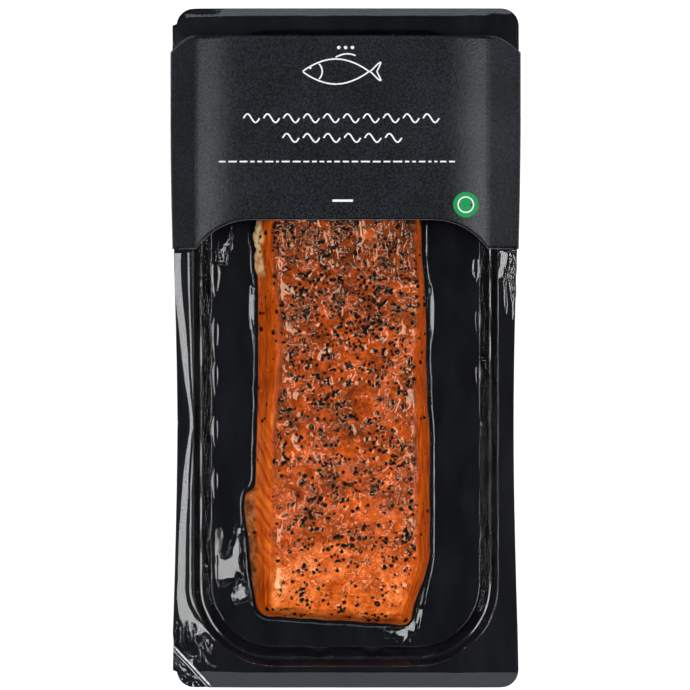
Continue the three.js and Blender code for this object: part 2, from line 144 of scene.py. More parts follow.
def noise(x: Grid, y: Grid, size: float, seed: int, octaves: int = 1) -> Grid:
    """Gradient noise over a plane, from about -1 to 1.

    Args:
        x: First coordinate.
        y: Second coordinate.
        size: Length of the coarsest features.
        seed: Picks the pattern.
        octaves: How many times finer features at half the strength are added.

    Returns:
        The noise at each point.
    """
    total = np.zeros(np.broadcast(x, y).shape)
    weight = 1.0
    for octave in range(octaves):
        u = np.asarray(x) / size * 2**octave + 31.7 * octave
        v = np.asarray(y) / size * 2**octave + 11.3 * octave
        iu, iv = np.floor(u).astype(np.int64), np.floor(v).astype(np.int64)
        fu, fv = u - iu, v - iv
        wu, wv = fu**3 * (fu * (fu * 6 - 15) + 10), fv**3 * (fv * (fv * 6 - 15) + 10)
        corners = []
        for du, dv in ((0, 0), (1, 0), (0, 1), (1, 1)):
            angle = lattice_angle(iu + du, iv + dv, seed + octave)
            corners.append(np.cos(angle) * (fu - du) + np.sin(angle) * (fv - dv))
        low = corners[0] + (corners[1] - corners[0]) * wu
        high = corners[2] + (corners[3] - corners[2]) * wu
        total += weight * 1.5 * (low + (high - low) * wv)
        weight *= 0.5
    return total


def turned(x: Grid, y: Grid) -> Grids:
    """The same places in axes turned a little, so that noise there doesn't run along the pack's own axes."""
    return 0.8 * x + 0.6 * y, 0.8 * y - 0.6 * x


def ridges(x: Grid, y: Grid, size: float, seed: int) -> Grid:
    """Thin winding ridges about a size apart: 1 on the ridge and 0 away from it."""
    return np.clip(1 - 3.2 * np.abs(noise(x, y, size, seed)), 0, 1) ** 1.5


def grid_quads(rows: int, columns: int, ring: bool = False) -> Grid:
    """Quads of a grid of points that is stored row by row.

    Args:
        rows: Number of rows.
        columns: Points in each row.
        ring: Whether each row closes on itself.

    Returns:
        Four point numbers for each quad, anticlockwise where columns run to the right and rows upwards.
    """
    r = np.arange(rows - 1)[:, None]
    c = np.arange(columns if ring else columns - 1)[None, :]
    a = r * columns + c
    b = r * columns + (c + 1) % columns
    return np.stack([a, b, b + columns, a + columns], axis=-1).reshape(-1, 4)


def rounded_rectangle(x: Grid, y: Grid, half: Pair, radius: float) -> Grids:
    """Moves the corners of a rectangular grid of points in, so that its outline has round corners.

    Args:
        x: Coordinates from the rectangle's middle.
        y: Coordinates from the rectangle's middle.
        half: Half the rectangle's width and length.
        radius: Radius of its corners.

    Returns:
        The moved coordinates.
    """
    ax = (np.abs(x) - half[0] + radius) / radius
    ay = (np.abs(y) - half[1] + radius) / radius
    corner = (ax > 0) & (ay > 0)
    bent_x = half[0] - radius + radius * ax * np.sqrt(np.clip(1 - ay**2 / 2, 0, 1))
    bent_y = half[1] - radius + radius * ay * np.sqrt(np.clip(1 - ax**2 / 2, 0, 1))
    return np.where(corner, np.sign(x) * bent_x, x), np.where(corner, np.sign(y) * bent_y, y)


def outline_of(grid: Grid) -> Grid:
    """The outer points of a grid in one row, anticlockwise from its first corner."""
    return np.concatenate([grid[0, :-1], grid[:-1, -1], grid[-1, :0:-1], grid[:0:-1, 0]])


def unit(rows: Grid) -> Grid:
    """The same directions, each of length 1."""
    return rows / np.linalg.norm(rows, axis=-1, keepdims=True)


def circle(centre: Pair, radius: float, count: int) -> Grid:
    """Points round a circle, one row each."""
    angle = np.arange(count) / count * TAU
    return np.array(centre) + radius * np.column_stack([np.cos(angle), np.sin(angle)])


def from_line(x: Grid, y: Grid, start: Pair, end: Pair) -> Grids:
    """Where places lie beside a short straight line.

    Args:
        x: Places across.
        y: Places along.
        start: One end of the line.
        end: Its other end.

    Returns:
        Share of the way along the line, from 0 to 1, and distance from it.
    """
    dx, dy = end[0] - start[0], end[1] - start[1]
    share = np.clip(((x - start[0]) * dx + (y - start[1]) * dy) / (dx * dx + dy * dy + 1e-9), 0, 1)
    return share, np.hypot(x - start[0] - share * dx, y - start[1] - share * dy)


def neighbour_mean(heights: Grid) -> Grid:
    """Mean height of the four neighbours of each inner point of a grid."""
    return (heights[:-2, 1:-1] + heights[2:, 1:-1] + heights[1:-1, :-2] + heights[1:-1, 2:]) / 4


def evened(heights: Grid, rounds: int) -> Grid:
    """Evens out a grid of heights, whose outer points stay.

    Args:
        heights: The grid.
        rounds: How many times each inner point moves to the mean of its neighbours.

    Returns:
        The evened grid.
    """
    even = heights.copy()
    for _ in range(rounds):
        even[1:-1, 1:-1] = neighbour_mean(even)
    return even


def rounded_path(points: list[Row], cuts: Row, steps: int) -> Grid:
    """A path with its inner corners rounded.

    Args:
        points: Corners of the path, each with two coordinates and any further values.
        cuts: How far from each inner corner its rounding starts.
        steps: Points on each rounding.

    Returns:
        Points along the rounded path.
    """
    p = np.asarray(points, float)
    made = [p[:1]]
    t = np.linspace(0, 1, steps)[:, None]
    for before, corner, after, cut in zip(p[:-2], p[1:-1], p[2:], cuts):
        ends = []
        for other in (before, after):
            length = np.linalg.norm((other - corner)[:2])
            ends.append(corner + (other - corner) * min(cut / length, 0.48))
        made.append((1 - t) ** 2 * ends[0] + 2 * t * (1 - t) * corner + t**2 * ends[1])
    made.append(p[-1:])
    return np.concatenate(made)


def make_object(name: str, points: Grid, faces: list[Grid], *finishes: Material) -> Piece:
    """Makes a mesh object at the origin from points in millimetres.

    Args:
        name: Name of the piece.
        points: Its points, with their coordinates last.
        faces: Arrays of faces, each with the same number of corners throughout.
        finishes: Its materials.

    Returns:
        The new object, linked to the scene.
    """
    mesh = bpy.data.meshes.new(name)
    rows = points.reshape(-1, 3) * MM
    mesh.from_pydata(rows.tolist(), [], [face for group in faces for face in group.tolist()])
    mesh.polygons.foreach_set("use_smooth", np.full(len(mesh.polygons), True))
    mesh.update()
    for finish in finishes:
        mesh.materials.append(finish)
    made = bpy.data.objects.new(name, mesh)
    bpy.context.scene.collection.objects.link(made)
    return made


def set_attribute(piece: Piece, name: str, values: Grid) -> None:
    """Stores one number for each point of a mesh, for its material or its scatter to read."""
    layer = piece.data.attributes.new(name, "FLOAT", "POINT")
    layer.data.foreach_set("value", np.ascontiguousarray(values, dtype=np.float32).ravel())


def tree_over(pieces: list[Piece]) -> BVHTree:
    """Gathers the faces of pieces, so that places on them can be found.

    Args:
        pieces: Finished pieces.

    Returns:
        Their faces in millimetres.
    """
    points, faces = [], []
    for piece in pieces:
        start = len(points)
        points.extend(v.co / MM for v in piece.data.vertices)
        faces.extend([start + i for i in polygon.vertices] for polygon in piece.data.polygons)
    return BVHTree.FromPolygons(points, faces)


def place(piece: Piece, slot: str, *stands_for: str) -> None:
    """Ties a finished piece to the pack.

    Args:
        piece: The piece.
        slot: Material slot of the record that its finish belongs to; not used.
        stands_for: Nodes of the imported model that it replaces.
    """
    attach(piece, ROOT)
    if stands_for:
        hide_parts(*stands_for)
    LOG.info("%s: %d points, %d faces", piece.name, len(piece.data.vertices), len(piece.data.polygons))


def linear(red: int, green: int, blue: int) -> Rgba:
    """Turns a colour written 0 to 255, as a screen shows it, into the light values that a shader takes.

    Args:
        red: Red part.
        green: Green part.
        blue: Blue part.

    Returns:
        Red, green, blue and an alpha of 1.
    """
    parts = [c / 255 for c in (red, green, blue)]
    curve = [c / 12.92 if c <= 0.04045 else ((c + 0.055) / 1.055) ** 2.4 for c in parts]
    return (*curve, 1.0)


class Nodes:
    """A node tree, with a short call to add and join its nodes."""

    def __init__(self, tree: bpy.types.NodeTree) -> None:
        """Takes the tree to fill."""
        self.tree = tree

    def node(self, kind: str, values: dict | None = None, **settings: object) -> bpy.types.Node:
        """Adds a node.

        Args:
            kind: The node's type.
            values: Input name or number to a constant or to another node's output.
            settings: The node's own settings.

        Returns:
            The node.
        """
        made = self.tree.nodes.new(kind)
        for name, value in settings.items():
            setattr(made, name, value)
        for key, value in (values or {}).items():
            if isinstance(value, Socket):
                self.tree.links.new(value, made.inputs[key])
            else:
                made.inputs[key].default_value = value
        return made


class NodeSheet(Nodes):
    """A material, with short calls for the nodes that its finish is made of."""

    def __init__(self, name: str) -> None:
        """Starts an empty material.

        Args:
            name: The material's name.
        """
        self.material = bpy.data.materials.new(name)
        self.material.use_nodes = True
        super().__init__(self.material.node_tree)
        self.tree.nodes.clear()
        self.output = self.node("ShaderNodeOutputMaterial")

    def attribute(self, name: str) -> Socket:
        """A number stored on the mesh."""
        return self.node("ShaderNodeAttribute", attribute_name=name).outputs["Fac"]

    def grain(self, size: float, detail: float = 2.0, stretch: Triple = (1, 1, 1),
              roughness: float = 0.5) -> Socket:
        """Noise over the object.

        Args:
            size: Size of its features in millimetres.
            detail: How many finer layers it has.
            stretch: How much longer the features are along each axis.
            roughness: Strength of the finer layers.

        Returns:
            A number round 0.5.
        """
        here = self.node("ShaderNodeTexCoord").outputs["Object"]
        scale = tuple(1 / (size * MM * s) for s in stretch)
        mapped = self.node("ShaderNodeMapping", {"Vector": here, "Scale": scale})
        made = self.node("ShaderNodeTexNoise", {
            "Vector": mapped.outputs[0], "Scale": 1.0, "Detail": detail, "Roughness": roughness})
        return made.outputs["Fac"]

    def math(self, operation: str, *values: object) -> Socket:
        """The result of arithmetic on numbers or outputs, given in the operation's order."""
        return self.node("ShaderNodeMath", dict(enumerate(values)), operation=operation).outputs[0]

    def window(self, value: object, low: float, high: float, to_low: float = 0.0,
               to_high: float = 1.0) -> Socket:
        """Maps the numbers from low to high onto those from to_low to to_high, clamped."""
        made = self.node("ShaderNodeMapRange", {0: value, 1: low, 2: high, 3: to_low, 4: to_high})
        return made.outputs[0]

    def mix(self, share: object, first: object, second: object) -> Socket:
        """Mixes a share of the second colour into the first; both are light values or outputs."""
        made = self.node("ShaderNodeMix", {0: share, 6: first, 7: second}, data_type="RGBA")
        return made.outputs[2]

    def mottle(self, share: object, low: float, high: float, first: Colour,
               second: Colour) -> Socket:
        """Two screen colours by a number: the first one up to low, the second one from high on."""
        return self.mix(self.window(share, low, high), linear(*first), linear(*second))

    def shifted(self, start: object, part: object, weight: float) -> Socket:
        """A number moved up or down by a weight of how far noise is from its middle."""
        return self.math("MULTIPLY_ADD", self.math("SUBTRACT", part, 0.5), weight, start)

    def ramp(self, value: object, stops: tuple[tuple[float, Colour], ...]) -> Socket:
        """Colours by a number.

        Args:
            value: The number.
            stops: Positions with their screen colours.

        Returns:
            The colour.
        """
        made = self.node("ShaderNodeValToRGB", {0: value})
        elements = made.color_ramp.elements
        while len(elements) < len(stops):
            elements.new(0.5)
        for element, (spot, colour) in zip(elements, stops):
            element.position = spot
            element.color = linear(*colour)
        return made.outputs[0]

    def bump(self, height: object, distance: float, strength: float = 1.0,
             below: Socket | None = None) -> Socket:
        """Fine relief.

        Args:
            height: A number from 0 to 1.
            distance: Its full height in millimetres.
            strength: Share of it that shows.
            below: Relief under this one.

        Returns:
            A normal.
        """
        values = {"Height": height, "Distance": distance * MM, "Strength": strength}
        if below is not None:
            values["Normal"] = below
        return self.node("ShaderNodeBump", values).outputs[0]

    def finish(self, shader: bpy.types.Node) -> Material:
        """Joins the shader to the output and gives back the material."""
        self.tree.links.new(shader.outputs[0], self.output.inputs["Surface"])
        return self.material

    def surface(self, tone: object, roughness: object, gloss: float = 0.5,
                relief: Socket | None = None, more: dict | None = None) -> Material:
        """Ends the material with a Principled shader.

        Args:
            tone: Its colour.
            roughness: Its roughness.
            gloss: Its specular level.
            relief: Its normal, where it has fine relief.
            more: Further inputs by name.

        Returns:
            The material.
        """
        values = {"Base Color": tone, "Roughness": roughness, "Specular IOR Level": gloss, **(more or {})}
        if relief is not None:
            values["Normal"] = relief
        return self.finish(self.node("ShaderNodeBsdfPrincipled", values))


@dataclass(frozen=True)
class Mottled:
    """A finish in two colours, mixed in patches, with fine relief.

    The patches are set as grain() takes them, and the relief by the size, height and strength of its bumps.
    """

    name: str
    first: Colour
    second: Colour
    patches: tuple = (0.5,)
    edge: Pair = (0.3, 0.7)
    roughness: float = 0.5
    gloss: float = 0.5
    relief: Triple = (0.5, 0.03, 0.4)

    def make(self) -> Material:
        """Builds the material.

        Returns:
            The material.
        """
        sheet = NodeSheet(self.name)
        tone = sheet.mottle(sheet.grain(*self.patches), *self.edge, self.first, self.second)
        size, height, strength = self.relief
        relief = sheet.bump(sheet.grain(size), height, strength)
        return sheet.surface(tone, self.roughness, self.gloss, relief)


@dataclass(frozen=True)
class TrayPlastic(Mottled):
    """Glossy black formed plastic with faint flow marks."""

    name: str = "black_tray_plastic"
    first: Colour = (13, 15, 18)
    second: Colour = (24, 26, 30)
    patches: tuple = (9.0, 3.0, (1, 2.5, 1))
    edge: Pair = (0.35, 0.75)
    roughness: float = 0.22
    gloss: float = 0.04
    relief: Triple = (0.5, 0.01, 0.5)


@dataclass(frozen=True)
class PaleHighlightPlastic(Mottled):
    """Black plastic gone pale where it has been bent sharply, its pale colour also a painted highlight along
    the crease.
    """

    name: str = "pale_and_highlight_plastic"
    first: Colour = (120, 124, 128)
    second: Colour = (226, 229, 232)
    patches: tuple = (1.1, 3.0)
    edge: Pair = (0.3, 0.55)
    roughness: float = 0.3
    relief: Triple = (0.4, 0.03, 0.5)


@dataclass(frozen=True)
class SmokedFlesh:
    """Hot smoked salmon: browned orange top, fibrous orange sides, pale fat and an olive belly edge."""

    seared: tuple[tuple[float, Colour], ...] = (
        (0.0, (246, 178, 130)), (0.15, (244, 156, 94)), (0.3, (236, 120, 46)), (0.45, (210, 92, 26)),
        (0.6, (168, 68, 16)), (0.75, (122, 49, 13)), (0.9, (78, 32, 11)), (1.0, (46, 20, 11)))
    ochre: Colour = (166, 104, 44)
    side_groove: Colour = (158, 52, 4)
    side_ridge: Colour = (228, 100, 20)
    bright_groove: Colour = (196, 60, 8)
    bright_ridge: Colour = (252, 128, 38)
    fat: Colour = (240, 208, 152)
    belly: Colour = (186, 104, 50)
    belly_dark: Colour = (78, 32, 14)
    # Dark red-brown of the painted shade round the pepper grains.
    pepper_shade: Colour = (74, 30, 16)

    def top(self, sheet: NodeSheet, middle: Socket,
            fine: Socket) -> Socket:
        """The browned top, with ochre juices, and dark specks of painted shade round the pepper where it
        lies.

        Args:
            sheet: The material.
            middle: Noise of the size of a flake's edge.
            fine: Noise of the size of a fibre.

        Returns:
            Its colour.
        """
        heat = sheet.attribute("browning")
        for part, weight in ((sheet.grain(13.0, 3.0), 0.35), (middle, 0.75), (fine, 0.5)):
            heat = sheet.shifted(heat, part, weight)
        tone = sheet.ramp(heat, self.seared)
        juice = sheet.window(sheet.grain(2.4, 3.0, roughness=0.6), 0.55, 0.72, 0.0, 0.55)
        # Dark specks of painted shade round the pepper grains, denser where the pepper lies.
        speck = sheet.window(sheet.grain(0.8, roughness=0.7), 0.56, 0.64, 0.0, 0.8)
        for mark, mask, colour in ((juice, "spice", self.ochre), (speck, "pepper_shade_share", self.pepper_shade)):
            tone = sheet.mix(sheet.math("MULTIPLY", mark, sheet.attribute(mask)), tone, linear(*colour))
        return tone

    def side(self, sheet: NodeSheet) -> Socket:
        """The fibrous side, brighter in some stretches.

        Args:
            sheet: The material.

        Returns:
            Its colour.
        """
        streak = sheet.grain(0.7, 3.0, (1, 9, 2.5), 0.6)
        fibre = sheet.shifted(sheet.attribute("fibre"), streak, 1.6)
        return sheet.mix(sheet.attribute("bright"),
                         sheet.mottle(fibre, 0.0, 1.0, self.side_groove, self.side_ridge),
                         sheet.mottle(fibre, 0.0, 1.0, self.bright_groove, self.bright_ridge))

    def make(self) -> Material:
        """Builds the material.

        Returns:
            The material.
        """
        sheet = NodeSheet("smoked_salmon_flesh")
        middle = sheet.grain(3.2, 4.0, roughness=0.62)
        fine = sheet.grain(0.75, 3.0, roughness=0.65)
        flesh = sheet.mix(sheet.attribute("side"), self.top(sheet, middle, fine), self.side(sheet))
        belly = sheet.mottle(middle, 0.35, 0.62, self.belly_dark, self.belly)
        flesh = sheet.mix(sheet.attribute("belly"), flesh, belly)
        pale = sheet.math("MULTIPLY", sheet.attribute("fat"), sheet.window(middle, 0.36, 0.54, 0.12, 1.0))
        flesh = sheet.mix(pale, flesh, linear(*self.fat))
        relief = sheet.bump(fine, 0.1, 0.5, sheet.bump(middle, 0.25, 0.5))
        return sheet.surface(flesh, sheet.window(fine, 0.3, 0.7, 0.4, 0.6), 0.03, relief, {
            "Subsurface Weight": 0.05, "Subsurface Radius": (0.002, 0.0008, 0.0003), "Subsurface Scale": 1.0})


@dataclass(frozen=True)
class PepperHusk(Mottled):
    """Cracked pepper: dark husk with lighter broken edges."""

    patches: tuple = (0.8, 2.0, (1, 1, 1), 0.6)
    edge: Pair = (0.52, 0.72)
    gloss: float = 0.05
    relief: Triple = (0.25, 0.06, 0.7)


@dataclass(frozen=True)
class ClearFilm:
    """Clear skin film, with a fine crinkle where it lies on the spice.

    Its reflection has a ceiling, so that steep film shines no more than it does in the photo.
    """

    roughness: float = 0.05
    index: float = 1.5
    ceiling: float = 0.048
    clear: Rgba = (0.985, 0.985, 0.985, 1.0)
    ripples: Pairs = ((2.4, 0.5), (0.8, 0.03))
    oily: Rgba = (1.0, 0.75, 0.52, 1.0)

    def make(self) -> Material:
        """Builds the material.

        Returns:
            The material.
        """
        sheet = NodeSheet("clear_skin_film")
        crinkle = sheet.attribute("crinkle")
        relief = sheet.bump(sheet.grain(5.0), 0.01, 0.5)
        for size, height in self.ripples:
            ripple = sheet.math("MULTIPLY", sheet.grain(size, 0.0), crinkle)
            relief = sheet.bump(ripple, height, 1.0, relief)
        fresnel = sheet.node("ShaderNodeFresnel", {"IOR": self.index, "Normal": relief}).outputs[0]
        share = sheet.math("MINIMUM", fresnel, self.ceiling)
        clear = sheet.node("ShaderNodeBsdfTransparent", {"Color": self.clear})
        sheen = sheet.mix(sheet.attribute("oily"), WHITE, self.oily)
        gloss = sheet.node("ShaderNodeBsdfGlossy", {
            "Color": sheen, "Roughness": self.roughness, "Normal": relief})
        return sheet.finish(sheet.node("ShaderNodeMixShader", {
            0: share, 1: clear.outputs[0], 2: gloss.outputs[0]}))


@dataclass(frozen=True)
class SlateCard:
    """Dark slate printed card with a matte, finely grained coat."""

    colour: Colour = (5, 7, 11)
    speck: Colour = (22, 26, 33)

    def make(self) -> Material:
        """Builds the material.

        Returns:
            The material.
        """
        sheet = NodeSheet("slate_card")
        tooth = sheet.grain(0.75, roughness=0.7)
        cloudy = sheet.shifted(tooth, sheet.grain(22.0), 0.5)
        tone = sheet.mottle(cloudy, 0.4, 0.66, self.colour, self.speck)
        roughness = sheet.window(tooth, 0.3, 0.7, 0.22, 0.32)
        return sheet.surface(tone, roughness, 0.27, sheet.bump(tooth, 0.12, 0.75))


@dataclass(frozen=True)
class CardCore:
    """Pale fibrous core of the card, seen where it is cut."""

    colour: Colour = (160, 157, 150)
    fibre: Colour = (112, 110, 106)

    def make(self) -> Material:
        """Builds the material."""
        sheet = NodeSheet("card_core")
        return sheet.surface(sheet.mottle(sheet.grain(0.6, 3.0), 0.3, 0.7, self.fibre, self.colour), 0.85)


@dataclass(frozen=True)
class Ink(Mottled):
    """Printed ink that lets a little of the card's grain through."""

    edge: Pair = (0.25, 0.6)
    gloss: float = 0.12


@dataclass(frozen=True)
class StudioFloor:
    """Pale seamless floor with a little light of its own, so that it comes out white."""

    glow: float = 0.45
    colour: Colour = (250, 250, 250)
    shade: Colour = (247, 247, 248)

    def make(self) -> Material:
        """Builds the material.

        Returns:
            The material.
        """
        sheet = NodeSheet("pale_floor")
        tone = sheet.mix(sheet.grain(60.0), linear(*self.shade), linear(*self.colour))
        return sheet.surface(tone, 0.8, 0.1, more={"Emission Color": WHITE, "Emission Strength": self.glow})


@dataclass(frozen=True)
class Levels:
    """Heights over the surface that the pack lies on."""

    floor: float
    flange: float
    fillet: float
    sleeve_top: float

    @classmethod
    def from_frame(cls, wall: float = 0.7, curl: float = 1.2) -> "Levels":
        """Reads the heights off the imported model.

        Args:
            wall: Thickness of the tray's floor.
            curl: How far the flange's long edges lift.

        Returns:
            The heights in millimetres.
        """
        base, top = (corner.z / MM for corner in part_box("tray"))
        return cls(floor=base + wall, flange=top - curl, fillet=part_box("salmon_fillet")[0].z / MM,
                   sleeve_top=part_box("card_sleeve")[1].z / MM)


@dataclass(frozen=True)
class Ridge:
    """A place where the film stands off what is under it, along a short line."""

    start: Pair
    end: Pair
    width: float
    height: float
    taper: float = 0.0

    def lift(self, x: Grid, y: Grid) -> Grid:
        """How high the film is lifted here.

        Args:
            x: Places across.
            y: Places along.

        Returns:
            Lift at each place.
        """
        share, away = from_line(x, y, self.start, self.end)
        size = 1 - self.taper * share
        return self.height * size * np.exp(-((away / (self.width * size)) ** 2))


@dataclass(frozen=True)
class Pleats:
    """Short raised folds of the film, scattered over a stretch of the fillet."""

    count: int
    span_x: Pair
    span_y: Pair
    lengths: Pair
    widths: Pair
    steepness: float
    turn: float
    seed: int
    taper: float = 0.35

    def lift(self, x: Grid, y: Grid, where: Grid) -> Grid:
        """How high the folds lift the film.

        Args:
            x: Places across.
            y: Places along.
            where: How readily the film folds at each place, from 0 to 1.

        Returns:
            Lift at each place.
        """
        random, chance = (np.random.default_rng(self.seed + i) for i in (0, 1))
        total = np.zeros(x.shape)
        for _ in range(self.count):
            mid_x, mid_y = random.uniform(*self.span_x), random.uniform(*self.span_y)
            width, half = random.uniform(*self.widths), random.uniform(*self.lengths) / 2
            lean = random.normal(0, self.turn)
            dx, dy = half * math.sin(lean), half * math.cos(lean)
            reach = max(self.lengths) / 2 + 3 * width
            near = (np.abs(x - mid_x) < reach) & (np.abs(y - mid_y) < reach)
            if near.any() and where[near].mean() > chance.uniform():
                ends = (mid_x - dx, mid_y - dy), (mid_x + dx, mid_y + dy)
                fold = Ridge(*ends, width, width * self.steepness, self.taper)
                total[near] = np.maximum(total[near], fold.lift(x[near], y[near]))
        return total


@dataclass(frozen=True)
class Facet:
    """A flat slope of film that rises away from its foot line and drops steeply at its ragged outline."""

    foot_x: float
    outline: Pairs
    rag: float = 1.6
    drop: float = 1.2
    slope: float = 0.195

    def lift(self, x: Grid, y: Grid) -> Grid:
        """How high the film is lifted here.

        Args:
            x: Places across.
            y: Places along.

        Returns:
            Lift at each place.
        """
        inside = np.zeros(x.shape, bool)
        gap = np.full(x.shape, np.inf)
        for (ax, ay), (bx, by) in zip(self.outline, self.outline[1:] + self.outline[:1]):
            gap = np.minimum(gap, from_line(x, y, (ax, ay), (bx, by))[1])
            inside ^= ((ay > y) != (by > y)) & (x < (bx - ax) * (y - ay) / (by - ay + 1e-9) + ax)
        past = np.where(inside, -gap, gap) + self.rag * noise(x, y / 8, 0.8, 43)
        away = (x - self.foot_x) * math.copysign(1, self.outline[0][0] - self.foot_x)
        return self.slope * np.maximum(away, 0) * smooth(self.drop, 0, past)


@dataclass(frozen=True)
class Bubble:
    """A long drop-shaped bubble under the film, widest nearer its upper end."""

    x: float
    high_y: float
    low_y: float
    half_width: float = 2.2
    edge_slope: float = 0.34
    skew: float = 0.75

    def lift(self, x: Grid, y: Grid) -> Grid:
        """How high the film is lifted here.

        Args:
            x: Places across.
            y: Places along.

        Returns:
            Lift at each place.
        """
        t = np.clip((self.high_y - y) / (self.high_y - self.low_y), 0, 1)
        half = self.half_width * np.sin(math.pi * t**self.skew)
        share = np.clip((x - self.x) / np.maximum(half, 0.05), -1, 1)
        return 0.5 * self.edge_slope * half * (1 - share**2)


@dataclass(frozen=True)
class Cavity:
    """The tray's hollow: every contour is an offset of one core rectangle."""

    core_x: float = 25.0
    core_y: float = 83.6
    rim: float = 28.7
    ledge_outer: float = 26.7
    ledge_inner: float = 25.9
    wall_foot: float = 23.1
    floor_edge: float = 21.8
    ledge_drop: float = 4.5
    foot_rise: float = 0.06
    flute_pitch: float = 18.9
    flute_half: float = 4.5
    flute_depth: float = 1.7
    long_flutes: int = 8
    short_flutes: int = 2
    run_on: float = 2.2
    ledge_fluting: float = 0.35
    snug_cuts: Row = (0.7, 0.2, 0.3, 0.2, 0.15)
    spanned_cuts: Row = (0.35, 0.25, 0.15, 0.35, 0.2)

    def feet(self, points: Grid) -> tuple[Grid, Grid, Grid]:
        """Nearest points of the core rectangle.

        Args:
            points: Places in plan, one row each.

        Returns:
            The nearest points, the directions from them and the distances.
        """
        core = np.array([self.core_x, self.core_y])
        feet = np.clip(points, -core, core)
        away = points - feet
        reach = np.linalg.norm(away, axis=1)
        return feet, away / reach[:, None], reach

    def flute(self, feet: Grid, directions: Grid) -> Grid:
        """How far a flute pushes the wall out here, from 0 to 1.

        Args:
            feet: Points on the core rectangle.
            directions: Directions from them.

        Returns:
            The flutes' share at each point.
        """
        result = np.zeros(len(feet))
        for axis, count in ((0, self.long_flutes), (1, self.short_flutes)):
            centres = (np.arange(count) - (count - 1) / 2) * self.flute_pitch
            near = np.abs(feet[:, 1 - axis, None] - centres).min(axis=1)
            facing = np.abs(directions[:, axis]) > 0.9999
            result = np.where(facing, hump(near, 0, self.flute_half), result)
        return result

    def wall(self, levels: Levels, snug: bool, offset: float, steps: int) -> Grid:
        """Section of the wall, from the flange down to the floor.

        Args:
            levels: Heights of the pack.
            snug: Whether it fills the inner corners, as the plastic does, or spans them, as the film does.
            offset: How far it stands off the plastic.
            steps: Points on each rounding.

        Returns:
            Rows of distance from the core, height and flute share.
        """
        ledge = levels.flange - self.ledge_drop
        corners = [
            (self.rim + self.run_on, levels.flange, 0.0), (self.rim, levels.flange, 0.0),
            (self.ledge_outer, ledge, 0.0), (self.ledge_inner, ledge, self.ledge_fluting),
            (self.wall_foot, levels.floor + self.foot_rise, 1.0), (self.floor_edge, levels.floor, 0.0),
            (self.floor_edge - self.run_on, levels.floor, 0.0)]
        path = rounded_path(corners, self.snug_cuts if snug else self.spanned_cuts, steps)
        along = unit(np.gradient(path[:, :2], axis=0))
        path[:, 0] += along[:, 1] * offset
        path[:, 1] -= along[:, 0] * offset
        return path


